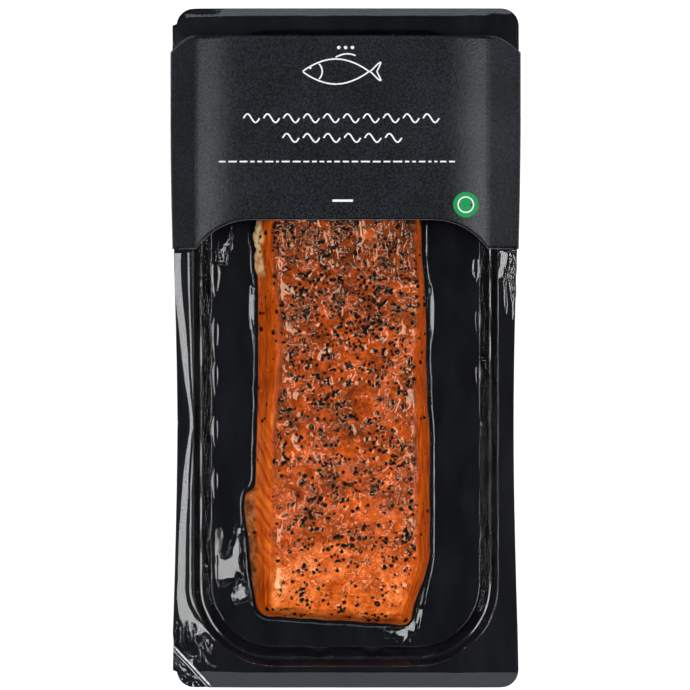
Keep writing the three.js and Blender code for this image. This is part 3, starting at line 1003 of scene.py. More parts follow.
@dataclass(frozen=True)
class Flange:
    """The flat rim round the tray, drawn in along its long sides by the film.

    Its long edges curl up, by an amount that changes along the pack and fades near the lower end and under
    the sleeve.
    """

    half_x: float = 61.2
    half_y: float = 120.0
    corner: float = 6.2
    spur: float = 1.4
    bow: float = 1.8
    bow_y: float = -28.0
    bow_half: float = 110.0
    roll: float = 0.26
    right_roll: float = 0.05
    tilt: float = 0.25
    right_tilt: float = 0.02
    far_right_tilt: float = 0.2
    far_right_y: Pair = (12.0, 33.0)
    curl_y: Row = (-112, -96, -75, -54, -35, -26, -17, 6, 34, 60, 112)
    curl: Row = (0.2, 0.6, 0.55, 0.4, 0.02, -0.3, 0.02, 0.5, 0.85, 0.2, -0.5)
    near_y: Pair = (-109.0, -100.0)
    sleeve_y: Pair = (37.0, 33.5)
    sleeve_share: float = 0.1
    wave: float = 0.05
    lower_crease_y: float = -114.6
    upper_crease_y: float = 117.2
    crease_slope: float = 0.1
    score: Ridge = Ridge((-61.0, -105.4), (-47.0, -120.5), 0.6, 0.12)
    seams: tuple[Ridge, ...] = (
        Ridge((-52.9, 108.0), (-52.9, 125.0), 0.35, 0.05),
        Ridge((53.2, 108.0), (53.2, 125.0), 0.35, 0.05),
        Ridge((-52.9, -125.0), (-52.9, -106.0), 0.35, 0.04),
        Ridge((53.0, -125.0), (53.0, -104.0), 0.35, 0.05))

    def edge_reach(self, feet: Grid, directions: Grid) -> Grid:
        """Distance from the core rectangle to the outer edge.

        Args:
            feet: Points on the core rectangle.
            directions: Directions from them.

        Returns:
            The distances.
        """
        dx, dy = np.abs(directions).T
        fx, fy = np.abs(feet).T
        to_x = (self.half_x - fx) / np.maximum(dx, 1e-9)
        to_y = (self.half_y - fy) / np.maximum(dy, 1e-9)
        reach = np.minimum(to_x, to_y)
        tip_x, tip_y = fx + reach * dx, fy + reach * dy
        left = feet[:, 0] + directions[:, 0] < 0
        centre_x = self.half_x - self.corner - self.spur * left
        centre_y = self.half_y - self.corner
        ax, ay = fx - centre_x, fy - centre_y
        b = ax * dx + ay * dy
        arc = -b + np.sqrt(np.maximum(b * b - ax * ax - ay * ay + self.corner**2, 0))
        return np.where((tip_x > centre_x) & (tip_y > centre_y + 0.3), arc, reach)

    def pull(self, y: Grid) -> Grid:
        """Share of the film's pull at this distance along the pack."""
        return hump(y, self.bow_y, self.bow_half)

    def rise(self, x: Grid, y: Grid, side: Grid, share: Grid, width: Grid) -> Grid:
        """Height of the warped flange over its flat level.

        Args:
            x: Places across.
            y: Places along.
            side: 1 on the long sides, 0 at the ends.
            share: 0 at the hollow's mouth, 1 at the outer edge.
            width: Width of the flange here.

        Returns:
            The heights.
        """
        left = self.tilt + self.roll * curve_through(y, self.curl_y, self.curl)
        streaked = y + 5 * noise(x, y / 6, 1.1, 7)
        right = self.right_tilt + self.far_right_tilt * smooth(*self.far_right_y, streaked)
        right = right + 0.03 * noise(x * 0 + 3, y, 16, 5)
        ragged = y + 8 * noise(x, y / 8, 0.9, 6) * (x < 0)
        shown = self.sleeve_share + (1 - self.sleeve_share) * smooth(*self.sleeve_y, y)
        tilt = np.where(x < 0, left, right) * smooth(*self.near_y, ragged) * shown
        roll = np.where(x < 0, self.roll, self.right_roll)
        warp = side * width * (tilt * share - roll * share**2 / 2)
        ends = np.maximum(self.lower_crease_y - y, 0) + np.maximum(y - self.upper_crease_y, 0)
        waves = self.wave * noise(x, y, 14, 3) * smooth(0, 0.3, share)
        marks = self.score.lift(x, y) + sum(seam.lift(x, y) for seam in self.seams)
        return warp + waves + marks - self.crease_slope * ends


def ring_shell(feet: Grid, directions: Grid, cavity: Cavity, flange: Flange, path: Grid,
               flange_rings: int) -> Grid:
    """Rings of points from the flange's outer edge down to the floor.

    Args:
        feet: Points on the core rectangle, anticlockwise.
        directions: Directions from them.
        cavity: The hollow.
        flange: The flange.
        path: Section of the wall.
        flange_rings: Rings between the outer edge and the section's start.

    Returns:
        Rings by points by three coordinates.
    """
    edge = flange.edge_reach(feet, directions)
    flute = cavity.flute(feet, directions)
    side = directions[:, 0] ** 2
    rings = []
    shares = np.linspace(1, 0, flange_rings, endpoint=False)
    outer = [(path[0, 0] + (edge - path[0, 0]) * s, path[0, 1], 0.0) for s in shares]
    for reach, height, fluted in outer + [tuple(row) for row in path]:
        reach = reach + fluted * cavity.flute_depth * flute
        plan = feet + directions * np.broadcast_to(reach, len(feet))[:, None]
        share = np.clip((reach - cavity.rim) / (edge - cavity.rim), 0, 1)
        x, y = plan[:, 0].copy(), plan[:, 1]
        x -= np.sign(x) * flange.bow * flange.pull(y) * side * share
        lift = flange.rise(x, y, side, share, edge - cavity.rim) * smooth(0, 0.05, share)
        rings.append(np.column_stack([x, y, height + lift]))
    return np.array(rings)


@dataclass
class Tray:
    """The black tray: flange, fluted walls, ledge and floor."""

    levels: Levels
    cavity: Cavity = Cavity()
    flange: Flange = Flange()
    plastic: TrayPlastic = TrayPlastic()
    thickness: float = 0.5
    long_points: int = 190
    short_points: int = 60
    corner_points: int = 54
    flange_rings: int = 12
    rounding_steps: int = 6
    inner_rings: Row = (12.0, 2.0)

    def stations(self) -> Grids:
        """Lays out the points of a ring.

        Returns:
            Their feet and directions, anticlockwise.
        """
        c = self.cavity
        long_side = np.linspace(-c.core_y, c.core_y, self.long_points, endpoint=False)
        short_side = np.linspace(c.core_x, -c.core_x, self.short_points, endpoint=False)
        turn = np.linspace(0, math.pi / 2, self.corner_points, endpoint=False)
        stations = []

        def add(x: Grid, y: Grid, angle: Grid) -> None:
            """Adds stations with these feet and angles."""
            rows = np.column_stack(np.broadcast_arrays(x, y, np.cos(angle), np.sin(angle)))
            stations.append(rows)

        for half_turn in (0, 1):
            sign, start = 1 - 2 * half_turn, half_turn * math.pi
            add(sign * c.core_x, sign * long_side, start)
            add(sign * c.core_x, sign * c.core_y, start + turn)
            add(sign * short_side, sign * c.core_y, start + math.pi / 2)
            add(-sign * c.core_x, sign * c.core_y, start + math.pi / 2 + turn)
        feet, directions = np.hsplit(np.concatenate(stations), 2)
        return feet, np.round(directions, 12)

    def build(self) -> Piece:
        """Makes the tray.

        Returns:
            The finished piece.
        """
        feet, directions = self.stations()
        path = self.cavity.wall(self.levels, True, 0.0, self.rounding_steps)
        rings = ring_shell(feet, directions, self.cavity, self.flange, path, self.flange_rings)
        floor = []
        for reach in self.inner_rings:
            plan = feet + directions * reach
            floor.append(np.column_stack([plan, np.full(len(plan), self.levels.floor)]))
        rings = np.concatenate([rings, floor])
        count = len(feet)
        quads = grid_quads(len(rings), count, ring=True)
        last = (len(rings) - 1) * count
        half = count // 2
        mirror = self.long_points * 2 + self.short_points + self.corner_points * 2
        first = (mirror - count) // 2
        strips = []
        for i in range(first, first + half):
            corners = [i, i + 1, mirror - i - 1, mirror - i]
            strips.append([last + corner % count for corner in corners])
        strips = np.array([s for s in strips if len(set(s)) == 4])
        piece = make_object("tray_shell", rings, [quads, strips], self.plastic.make())
        solid = piece.modifiers.new("wall", "SOLIDIFY")
        solid.thickness = self.thickness * MM
        solid.offset = -1.0
        place(piece, "black_tray_plastic", "tray")
        return piece


@dataclass(frozen=True)
class SideProfile:
    """How the fillet's side runs, from its foot up to the edge of its top."""

    paths: Row = (0.0, 2.7, 7.7, 15.5, 18.7)
    insets: Row = (1.2, 0.0, 1.6, 4.6, 6.8)
    heights: Row = (0.0, 0.14, 0.42, 0.84, 0.975)
    flaps: Row = (0.9, 1.0, 0.25, 0.0, 0.0)

    @property
    def length(self) -> float:
        """Length of the path up the side."""
        return self.paths[-1]

    @property
    def brow(self) -> float:
        """Inset of the edge of the top."""
        return self.insets[-1]


@dataclass(frozen=True)
class FilletForm:
    """Plan and height of the fillet."""

    base_z: float
    half: float = 30.3
    half_length: float = 95.0
    thickness: float = 17.0
    corner: float = 2.2
    middle_y: float = -2.0
    skew: float = 1.7
    left_x: float = -31.2
    right_x: float = 28.6
    flap_reach: float = 3.8
    brow_shift: float = 2.6
    brow_y: float = 3.0
    brow_half: float = 36.0
    right_brow_shift: float = 2.6
    flap_y: Row = (-90.0, -82.0, -70.0, -60.0, -54.0, -51.6, -50.0, -48.4)
    flap_out: Row = (0.0, 0.3, 0.62, 0.95, 1.0, 0.85, 0.2, 0.0)
    side: SideProfile = SideProfile()
    left_scale: float = 1.0
    right_scale: float = 0.7
    end_scale: float = 0.62
    left_steps: Triples = ((-0.3, 20, 46), (-0.9, -10, -60), (2.5, 75, 93))
    right_steps: Triples = (
        (1.3, 0, -40), (-1.9, 6, 40), (-7, -72, -100), (-2.5, 75, 93))
    height_steps: Triples = (
        (-0.05, 10, -60), (-0.17, -66, -97), (-0.12, 60, 93))

    def left_edge(self, y: Grid) -> Grid:
        """Left edge of the base, without the belly flap."""
        return stepped(self.left_x, y, self.left_steps)

    def right_edge(self, y: Grid) -> Grid:
        """Right edge of the base."""
        return stepped(self.right_x, y, self.right_steps)

    def height_share(self, y: Grid) -> Grid:
        """Share of the full thickness at this distance along the pack."""
        return stepped(1.0, y, self.height_steps)

    def flap(self, y: Grid) -> Grid:
        """How far the belly edge reaches out here, from 0 to 1."""
        return np.maximum(curve_through(y, self.flap_y, self.flap_out), 0)

    def plan(self, slab_x: Grid, slab_y: Grid) -> Grids:
        """Places a point of the straight slab in the real outline.

        Args:
            slab_x: Across the slab.
            slab_y: Along the slab.

        Returns:
            Coordinates in the pack's frame.
        """
        across = slab_x / self.half
        y = self.middle_y + slab_y - self.skew * across * np.maximum(0, -slab_y / self.half_length)
        left, right = self.left_edge(y), self.right_edge(y)
        return (left + right) / 2 + across * (right - left) / 2, y


@dataclass
class Fillet:
    """The smoked fillet: a dense mesh with fibrous sides, flaky top and a thin belly edge."""

    form: FilletForm
    flesh: SmokedFlesh = SmokedFlesh()
    step: float = 0.46
    seed: int = 11
    fat_y: Pair = (24.0, 46.0)
    near_right_swell: float = 0.36
    corner_swell: float = 0.12
    edge_wander: float = 0.55
    flake_height: float = 0.22
    swell_height: float = 0.25
    lump_height: float = 0.14
    crumb_height: float = 0.04
    fibre_height: float = 0.16
    bulge_height: float = 0.2
    spice_y: Row = (-98, -84, -73, -66, -45, -30, -12, 4, 20, 44, 95)
    spice_share: Row = (0.36, 0.42, 0.5, 0.66, 0.66, 0.72, 0.95, 1.25, 1.45, 1.9, 1.6)
    bare_spot: Triple = (17.0, -8.0, 13.0)
    # Middle and half size of a lighter patch: partly paler flesh, partly a painted soft highlight.
    pale_and_highlight_spot: Triple = (-23.5, -83.0, 8.0)
    browning_y: Row = (-98, -90, -79, -73, -69, -58, -38, -20, -4, 10, 24, 38, 95)
    browning: Row = (0.38, 0.38, 0.4, 0.44, 0.52, 0.54, 0.58, 0.6, 0.6, 0.63, 0.65, 0.7, 0.73)

    def slab(self) -> dict[str, Grid]:
        """Lays a grid over top and sides of the straight slab.

        Returns:
            Plan coordinates, the path up the side, the distance in from the top's edge and which way the
            side faces.
        """
        form, side = self.form, self.form.side
        low_x = -form.half + side.brow * form.left_scale
        high_x = form.half - side.brow * form.right_scale
        half_y = form.half_length - side.brow * form.end_scale
        middle, half_x = (low_x + high_x) / 2, (high_x - low_x) / 2
        outer = (half_x + side.length, half_y + side.length)
        counts = [int(2 * o / self.step) for o in outer]
        columns, rows = (np.linspace(-o, o, count) for o, count in zip(outer, counts))
        x, y = rounded_rectangle(*np.meshgrid(columns, rows), outer, form.corner + side.length)
        core_x, core_y = half_x - form.corner, half_y - form.corner
        foot_x, foot_y = np.clip(x, -core_x, core_x), np.clip(y, -core_y, core_y)
        away = np.hypot(x - foot_x, y - foot_y)
        face_x = np.divide(x - foot_x, away, out=np.zeros_like(x), where=away > 1e-9)
        face_y = np.divide(y - foot_y, away, out=np.zeros_like(y), where=away > 1e-9)
        past = np.maximum(away - form.corner, 0)
        path = np.clip(side.length - past, 0, side.length)
        scale = face_y**2 * form.end_scale
        scale += face_x**2 * np.where(face_x < 0, form.left_scale, form.right_scale)
        swell = np.where((face_x > 0) & (face_y < 0), self.near_right_swell, self.corner_swell)
        scale *= 1 + swell * (2 * face_x * face_y) ** 2
        out = scale * (side.brow - curve_through(path, side.paths, side.insets))
        long_way = np.where(np.abs(face_x) > np.abs(face_y), y, x)
        wander = noise(long_way, face_x * 9 + face_y * 5, 7.5, self.seed + 9, 3)
        out += self.edge_wander * wander * smooth(8, 16, path)
        on_side = past > 0
        slab_x = np.where(on_side, foot_x + face_x * (form.corner + out), x) + middle
        slab_y = np.where(on_side, foot_y + face_y * (form.corner + out), y)
        drawn_in = form.brow_shift * hump(slab_y, form.brow_y, form.brow_half) * smooth(2, -14, slab_x)
        drawn_out = form.right_brow_shift * smooth(-4, 22, slab_y) * smooth(4, 20, slab_x)
        slab_x = slab_x + (drawn_in + drawn_out) * (path / side.length) ** 1.5
        to_core_edge = np.minimum(core_x - np.abs(x), core_y - np.abs(y))
        inward = form.corner - away + np.where(away > 0, 0, to_core_edge)
        return {"x": slab_x, "y": slab_y, "path": path, "inward": np.maximum(inward, 0),
                "face_x": face_x, "face_y": face_y, "wander": wander}

    def fibres(self, grid: dict[str, Grid], y: Grid) -> Grid:
        """Muscle fibres on the sides, 1 on a ridge and 0 in a groove.

        Args:
            grid: The slab's grid.
            y: Places along.

        Returns:
            Fibre height at each point.
        """
        path = grid["path"]
        long_way = np.where(np.abs(grid["face_x"]) > 0.5, y, grid["x"])
        warp = 0.9 * noise(long_way, path, 11, self.seed, 2)
        level = noise((path + warp) * 5.0, long_way, 9.0, self.seed + 10, 2)
        across = path + 1.3 * long_way + 1.6 * warp
        rise = 0.6 * np.sin(TAU * across / 6.4) + 1.3 * noise(across, long_way / 5, 2.4, self.seed + 13, 2)
        slanted = smooth(-20, -40, y) * smooth(-84, -72, y) * (grid["face_x"] < 0) * smooth(1, 5, path)
        return np.clip(0.5 + 0.5 * (level * (1 - slanted) + 0.75 * rise * slanted), 0, 1)

    def relief(self, x: Grid, y: Grid, fibre: Grid, top: Grid) -> Grid:
        """How far the surface stands out of its smooth form.

        Args:
            x: Places across.
            y: Places along.
            fibre: Fibre height.
            top: 1 on the top, 0 on the sides.

        Returns:
            Height of the relief.
        """
        flakes = self.flake_height * np.sin((y + 0.35 * np.abs(x)) / 3.4 + 0.6 * np.sin(x / 9))
        swell = self.swell_height * np.sin(x / 7.5 + y / 19) * np.cos(y / 11)
        lumps = self.lump_height * noise(*turned(x, y), 5.0, self.seed + 1, 2)
        crumbs = self.crumb_height * noise(*turned(x, y), 1.6, self.seed + 2, 2)
        sides = self.fibre_height * (fibre - 0.6) + self.bulge_height * noise(x * 2, y, 9, self.seed + 3)
        return top * (flakes + swell + lumps + crumbs) + (1 - top) * sides

    def spice(self, x: Grid, y: Grid, on_top: Grid) -> Grid:
        """How densely the pepper lies, from 0 to 1.

        Args:
            x: Places across.
            y: Places along.
            on_top: 1 where pepper can lie, 0 on the sides.

        Returns:
            Density at each point.
        """
        zone = curve_through(y, self.spice_y, self.spice_share)
        wide = noise(x, y, 13, self.seed + 4, 2)
        clumps = smooth(-0.3, 0.6, 0.6 * wide + noise(x, y, 4.2, self.seed + 5, 2))
        bare_x, bare_y, bare_half = self.bare_spot
        bare = hump(np.hypot(x - bare_x, (y - bare_y) * 0.8), 0, bare_half)
        return zone * (0.16 + 1.0 * clumps) * (1 - 0.5 * bare) * on_top

    def build(self) -> Piece:
        """Makes the flesh.

        Returns:
            The finished piece.
        """
        form, side = self.form, self.form.side
        grid = self.slab()
        path, inward = grid["path"], grid["inward"]
        x, y = form.plan(grid["x"], grid["y"])
        left = (grid["face_x"] < -0.3) & (path < side.length)
        flap = form.flap(y) * curve_through(path, side.paths, side.flaps) * left
        fat = smooth(self.fat_y[0], self.fat_y[0] + 5, y) * smooth(self.fat_y[1], self.fat_y[1] - 2, y)
        fat = fat * smooth(11.0, 9.0, path + 2.4 * grid["wander"]) * (grid["face_x"] < -0.9)
        knobs = 1 + 1.3 * noise(y, path * 0.8, 4.2, self.seed + 6, 2)
        x = x - form.flap_reach * flap - 0.4 * fat * knobs
        share = curve_through(path, side.paths, side.heights) + 0.05 * (1 - np.exp(-inward / 6))
        z = form.base_z + form.thickness * share * form.height_share(y)
        points = np.stack([x, y, z], axis=-1)
        normal = np.cross(np.gradient(points, axis=1), np.gradient(points, axis=0))
        normal /= np.linalg.norm(normal, axis=-1, keepdims=True) + 1e-12
        top = smooth(side.length - 3.0, side.length, path)
        fibre = self.fibres(grid, y)
        height = self.relief(x, y, fibre, top) * smooth(0.3, 2.0, path)
        height = height + fat * (0.3 + 0.9 * noise(y, path, 3.0, self.seed + 14, 2))
        points = points + normal * height[..., None]
        points[..., 2] = np.maximum(points[..., 2], form.base_z)
        rows, columns = x.shape
        flat = points.reshape(-1, 3)
        rim = outline_of(np.arange(rows * columns).reshape(rows, columns))
        centre = len(flat)
        flat = np.vstack([flat, [[flat[rim, 0].mean(), flat[rim, 1].mean(), form.base_z]]])
        base = np.column_stack([np.roll(rim, -1), rim, np.full(len(rim), centre)])
        piece = make_object("salmon_flesh", flat, [grid_quads(rows, columns), base], self.flesh.make())
        aslant = turned(x, y)
        patches = 0.1 * noise(*aslant, 12, self.seed + 7, 2) + 0.06 * noise(*aslant, 3.5, self.seed + 8)
        # Lighter patch near the lower left, partly paler flesh and partly a painted soft highlight.
        pale_x, pale_y, pale_half = self.pale_and_highlight_spot
        ragged = x - pale_x + 2.5 * noise(*aslant, 6, 91, 2)
        spot = hump(np.hypot(ragged, (y - pale_y) * 0.5), 0, pale_half)
        patches -= 0.2 * spot * (1 + 0.7 * noise(*aslant, 2.6, 92, 2))
        seared_edge = 0.06 * hump(path, side.length - 1, 3)
        heat = curve_through(y, self.browning_y, self.browning) + patches + seared_edge
        edge = side.length - 1.5 + 1.2 * grid["wander"]
        glow = smooth(-12, -32, y) * smooth(-86, -72, y) * left + 0.6 * smooth(-72, -80, y) * (1 - left)
        belly = smooth(8.0, 6.4, path - 0.8 * grid["wander"]) * smooth(0.05, 0.25, form.flap(y)) * left
        near_end = smooth(-0.5, -0.9, grid["face_y"]) * (path < side.length)
        peppered_end = near_end * smooth(6, 11, path) * smooth(26, 23, np.abs(x + 1))
        spice = self.spice(x, y, np.maximum(smooth(-0.1, 0.6, inward), peppered_end))
        masks = {
            "browning": heat, "side": (1 - smooth(edge - 1.2, edge + 1.2, path)) * (1 - 0.75 * near_end),
            "fibre": fibre, "fat": fat, "belly": belly, "spice": spice,
            "bright": glow + 0.25 * noise(y, path, 14, self.seed + 12),
            # Share of the painted shade round the pepper grains: some over the whole top, more where the
            # pepper is dense.
            "pepper_shade_share": np.clip(0.35 + 0.9 * spice, 0, 1) * top}
        for name, values in masks.items():
            set_attribute(piece, name, np.append(values.ravel(), 0.0))
        place(piece, "smoked_salmon", "salmon_fillet")
        return piece


class Grain(Enum):
    """Kinds of crushed pepper on the fillet."""

    HUSK = "pepper_husks"
    CRUMB = "pepper_crumbs"
    DUST = "pepper_dust"
    PALE = "pepper_pale_bits"


@dataclass(frozen=True)
class Scatter:
    """One kind of grain, scattered over the fillet by Geometry Nodes."""

    kind: Grain
    spacing: float
    per_square: float
    smallest: float
    largest: float
    flatness: float
    facets: int
    seed: int
    finish: PepperHusk
    lumps: float

    def tree(self) -> bpy.types.NodeTree:
        """Builds the node tree, with an input for each size.

        Returns:
            The tree.
        """
        tree = bpy.data.node_groups.new(f"scatter_{self.kind.value}", "GeometryNodeTree")
        sockets = {"Surface": "Geometry", "Seed": "Int", "Material": "Material"}
        sockets |= dict.fromkeys(("Spacing", "Density", "Smallest", "Largest", "Flatness", "Lumps"), "Float")
        for name, kind in sockets.items():
            tree.interface.new_socket(name, in_out="INPUT", socket_type=f"NodeSocket{kind}")
        tree.interface.new_socket("Grains", in_out="OUTPUT", socket_type="NodeSocketGeometry")
        add = Nodes(tree).node
        given = add("NodeGroupInput").outputs
        spice = add("GeometryNodeInputNamedAttribute", {"Name": "spice"}, data_type="FLOAT")
        spread = add("GeometryNodeDistributePointsOnFaces", {
            "Mesh": given["Surface"], "Distance Min": given["Spacing"], "Density Max": given["Density"],
            "Density Factor": spice.outputs["Attribute"], "Seed": given["Seed"]}, distribute_method="POISSON")
        share = add("FunctionNodeRandomValue", {2: 0.0, 3: 1.0, "Seed": 2}, data_type="FLOAT").outputs[1]
        skewed = add("ShaderNodeMath", {0: share, 1: 1.7}, operation="POWER").outputs[0]
        size = add("ShaderNodeMapRange", {0: skewed, 3: given["Smallest"], 4: given["Largest"]}).outputs[0]
        shape = add("FunctionNodeRandomValue", {0: (0.7, 0.65, 0.8), 1: (1.2, 1.0, 1.2), "Seed": 3},
                    data_type="FLOAT_VECTOR").outputs[0]
        squat = add("ShaderNodeCombineXYZ", {0: 1.0, 1: 1.0, 2: given["Flatness"]}).outputs[0]
        shape = add("ShaderNodeVectorMath", {0: shape, 1: squat}, operation="MULTIPLY").outputs[0]
        scaled = add("ShaderNodeVectorMath", {0: shape, "Scale": size}, operation="SCALE").outputs[0]
        turn = add("FunctionNodeRandomValue", {0: (-0.5, -0.5, 0.0), 1: (0.5, 0.5, TAU), "Seed": 4},
                   data_type="FLOAT_VECTOR").outputs[0]
        ball = add("GeometryNodeMeshIcoSphere", {"Radius": 1.0, "Subdivisions": self.facets}).outputs["Mesh"]
        laid = add("GeometryNodeInstanceOnPoints", {
            "Points": spread.outputs["Points"], "Instance": ball, "Rotation": turn, "Scale": scaled})
        real = add("GeometryNodeRealizeInstances", {0: laid.outputs[0]}).outputs[0]
        here = add("GeometryNodeInputPosition").outputs[0]
        rough = add("ShaderNodeTexNoise", {"Vector": here, "Scale": 1 / (0.9 * MM), "Detail": 1.0})
        centred = add("ShaderNodeVectorMath", {0: rough.outputs["Color"], 1: (0.5, 0.5, 0.5)},
                      operation="SUBTRACT").outputs[0]
        push = add("ShaderNodeVectorMath", {0: centred, "Scale": given["Lumps"]}, operation="SCALE")
        broken = add("GeometryNodeSetPosition", {"Geometry": real, "Offset": push.outputs[0]}).outputs[0]
        sharp = add("GeometryNodeSetShadeSmooth", {"Geometry": broken, "Shade Smooth": False}).outputs[0]
        dressed = add("GeometryNodeSetMaterial", {"Geometry": sharp, "Material": given["Material"]})
        add("NodeGroupOutput", {0: dressed.outputs[0]})
        return tree

    def build(self, surface: Piece) -> Piece:
        """Scatters the grains.

        Args:
            surface: The fillet.

        Returns:
            The finished piece.
        """
        holder = bpy.data.objects.new("scatter", surface.data.copy())
        bpy.context.scene.collection.objects.link(holder)
        modifier = holder.modifiers.new("scatter", "NODES")
        modifier.node_group = self.tree()
        wanted = {
            "Spacing": self.spacing * MM, "Density": self.per_square / MM**2, "Smallest": self.smallest * MM,
            "Largest": self.largest * MM, "Flatness": self.flatness, "Seed": self.seed,
            "Lumps": self.lumps * MM * 2, "Material": self.finish.make()}
        for item in modifier.node_group.interface.items_tree:
            if item.item_type == "SOCKET" and item.name in wanted:
                modifier[item.identifier] = wanted[item.name]
        evaluated = holder.evaluated_get(bpy.context.evaluated_depsgraph_get())
        mesh = bpy.data.meshes.new_from_object(evaluated)
        bpy.data.objects.remove(holder)
        piece = bpy.data.objects.new(self.kind.value, mesh)
        bpy.context.scene.collection.objects.link(piece)
        place(piece, "smoked_salmon")
        return piece


@dataclass
class Pepper:
    """All the pepper on the fillet."""

    husk: PepperHusk = PepperHusk("pepper_husk", (13, 8, 6), (34, 18, 11))
    crumb: PepperHusk = PepperHusk("pepper_crumb", (20, 9, 6), (56, 26, 12))
    dust: PepperHusk = PepperHusk("pepper_fine", (40, 20, 12), (92, 46, 22), edge=(0.42, 0.62))
    pale: PepperHusk = PepperHusk("pepper_heart", (150, 118, 78), (205, 178, 132), edge=(0.42, 0.62))

    def kinds(self) -> list[Scatter]:
        """Sets out the kinds.

        Returns:
            A scatter of each, the largest grains first.
        """
        return [
            Scatter(Grain.HUSK, 1.0, 0.74, 0.55, 1.12, 0.6, 2, 5, self.husk, 0.36),
            Scatter(Grain.CRUMB, 0.5, 1.2, 0.22, 0.44, 0.75, 1, 9, self.crumb, 0.25),
            Scatter(Grain.DUST, 0.35, 2.0, 0.1, 0.22, 0.8, 1, 21, self.dust, 0.1),
            Scatter(Grain.PALE, 1.5, 0.12, 0.2, 0.5, 0.7, 1, 33, self.pale, 0.2)]

    def build(self, flesh: Piece) -> list[Piece]:
        """Scatters every kind over the flesh."""
        return [kind.build(flesh) for kind in self.kinds()]


@dataclass
class Film:
    """The clear film: drawn down over fillet and pepper, and bonded to the tray round them."""

    levels: Levels
    form: FilletForm
    cavity: Cavity
    flange: Flange
    finish: ClearFilm = ClearFilm()
    low: Pair = (-40.0, -101.6)
    high: Pair = (34.0, 97.0)
    window_y: float = 47.0
    corner: float = 10.0
    across: int = 186
    along_seen: int = 413
    along_hidden: int = 50
    stand_off: float = 0.12
    skirt_rounds: int = 19
    tent_rounds: int = 13
    taut_rounds: int = 2
    taut_lift: float = 0.1
    bridge_rounds: int = 12
    bridge_lift: float = 0.12
    flange_rings: int = 26
    floor_rings: int = 8
    bridged: float = 0.35
    crumple_size: float = 1.5
    crumple_height: float = 0.12
    pleats: Pleats = Pleats(2700, (-28.0, 26.0), (-96.0, 46.0), (0.0, 0.6), (0.55, 0.85), 0.32, 0.6, 61)
    ribbons: Pleats = Pleats(76, (-26.0, 24.0), (30.0, 46.0), (3.0, 8.0), (1.0, 1.5), 0.3, 0.12, 62)
    level_rounds: int = 30
    toe: float = 1.0
    toe_share: float = 0.17
    facets: tuple[Facet, ...] = (
        Facet(-46.6, ((-46.1, -66), (-45.2, -66), (-45.1, -73.2), (-43.8, -76.2), (-41.1, -72.9),
                      (-39.6, -69.8), (-39, -64.2), (-37.2, -64.2), (-37.5, -69.8), (-37.9, -80.3),
                      (-39, -80.8), (-40.4, -82), (-42.1, -82.6), (-43.5, -83.7), (-46.1, -82))),
        Facet(-40.9, ((-38.4, -84.6), (-37.2, -84), (-35.7, -85.4), (-34.8, -88.7), (-36.7, -89.7),
                      (-38.1, -90.4), (-40.1, -89.4), (-40.4, -87.4), (-39.4, -86)), 1.4),
        Facet(-47.3, ((-46.9, 44.5), (-41.1, 44.5), (-41.1, 39.9), (-42.1, 36), (-43.4, 34),
                      (-43.8, 31.1), (-44.7, 32.1), (-45.3, 36), (-46.4, 39.9))),
        Facet(-34.6, ((-30.9, 27.5), (-30.4, 24), (-30.4, 1), (-31.8, 2), (-33.4, 8), (-34.2, 13),
                      (-34, 17), (-32.8, 21), (-31.8, 24)), 0.8),
        Facet(31.7, ((30.2, 21), (31.3, 14), (31.2, 9), (29.6, 3), (28.6, 2), (28.6, 24)), 0.6),
        Facet(32, ((31.6, -36), (31.4, -60), (30.6, -76), (28.6, -84), (27, -92), (26.4, -92),
                     (28, -84), (29.9, -76), (30.8, -60), (31, -36)), 0.3),
        Facet(27.5, ((27, -89.7), (26.7, -93.4), (25.8, -98.1), (24.5, -100.2), (22.4, -101.9),
                     (22, -104.9), (20.4, -104.6), (20.1, -102.9), (17.7, -102.2), (14.6, -101.2),
                     (17.7, -100.5), (21.5, -99), (24.5, -98), (25.2, -96.5), (25.8, -92.1),
                     (26.5, -89.7))))
    bubbles: tuple[Bubble, ...] = (
        Bubble(-46.5, 31.5, 17.5, 1.8), Bubble(-46.6, 11, -4, 1.4), Bubble(-46.5, -4.5, -17.5, 1.2),
        Bubble(-46.6, -24, -36, 1.3), Bubble(-46.6, -43, -54.5, 1.3),
        Bubble(46.6, 33, 22.5, 1.5), Bubble(47.1, 13.5, 4.5, 1.1), Bubble(47.2, -6, -13.5, 1))
    dashes: tuple[tuple[int, float, float], ...] = (
        (-1, 21.8, 23.4), (-1, -6.4, 4.2), (-1, -44.8, -34.2), (-1, -64.2, -53), (-1, -103, -72.4),
        (1, 32.5, 40), (1, 13.8, 24), (1, -4.5, 4.6), (1, -103, -83))
    dash_slope: float = 0.2
    foot_step: float = 0.3
    rounding_steps: int = 5
    least_crinkle: float = 0.03
    upper_crinkle: Triple = (0.2, 12.0, 40.0)
    near_crinkle: Triple = (0.35, -55.0, 24.0)
    peel_facing: Pair = (0.735, 0.68)
    peel_height: float = 0.8

    def grid(self) -> Grids:
        """Lays out the part of the film over the fillet in plan.

        Returns:
            Places across and along the pack.
        """
        low, high = np.array(self.low), np.array(self.high)
        middle, half = (low + high) / 2, (high - low) / 2
        x = np.linspace(-half[0], half[0], self.across)
        seen = np.linspace(low[1], self.window_y, self.along_seen)
        hidden = np.linspace(self.window_y, high[1], self.along_hidden)[1:]
        y = np.concatenate([seen, hidden]) - middle[1]
        x, y = rounded_rectangle(*np.meshgrid(x, y), tuple(half), self.corner)
        return x + middle[0], y + middle[1]

    def ground(self, x: Grid, y: Grid) -> Grid:
        """Height of the film over the tray's bare floor, with its waves and bubbles."""
        waves = 0.05 * noise(x, y, 16, 41) + 0.02 * noise(x, y, 5, 42)
        return self.levels.floor + self.stand_off + waves + sum(bubble.lift(x, y) for bubble in self.bubbles)

    def raised(self, x: Grid, y: Grid) -> Grid:
        """How high the facets lift the film over the bare floor."""
        return np.max([facet.lift(x, y) for facet in self.facets], axis=0)

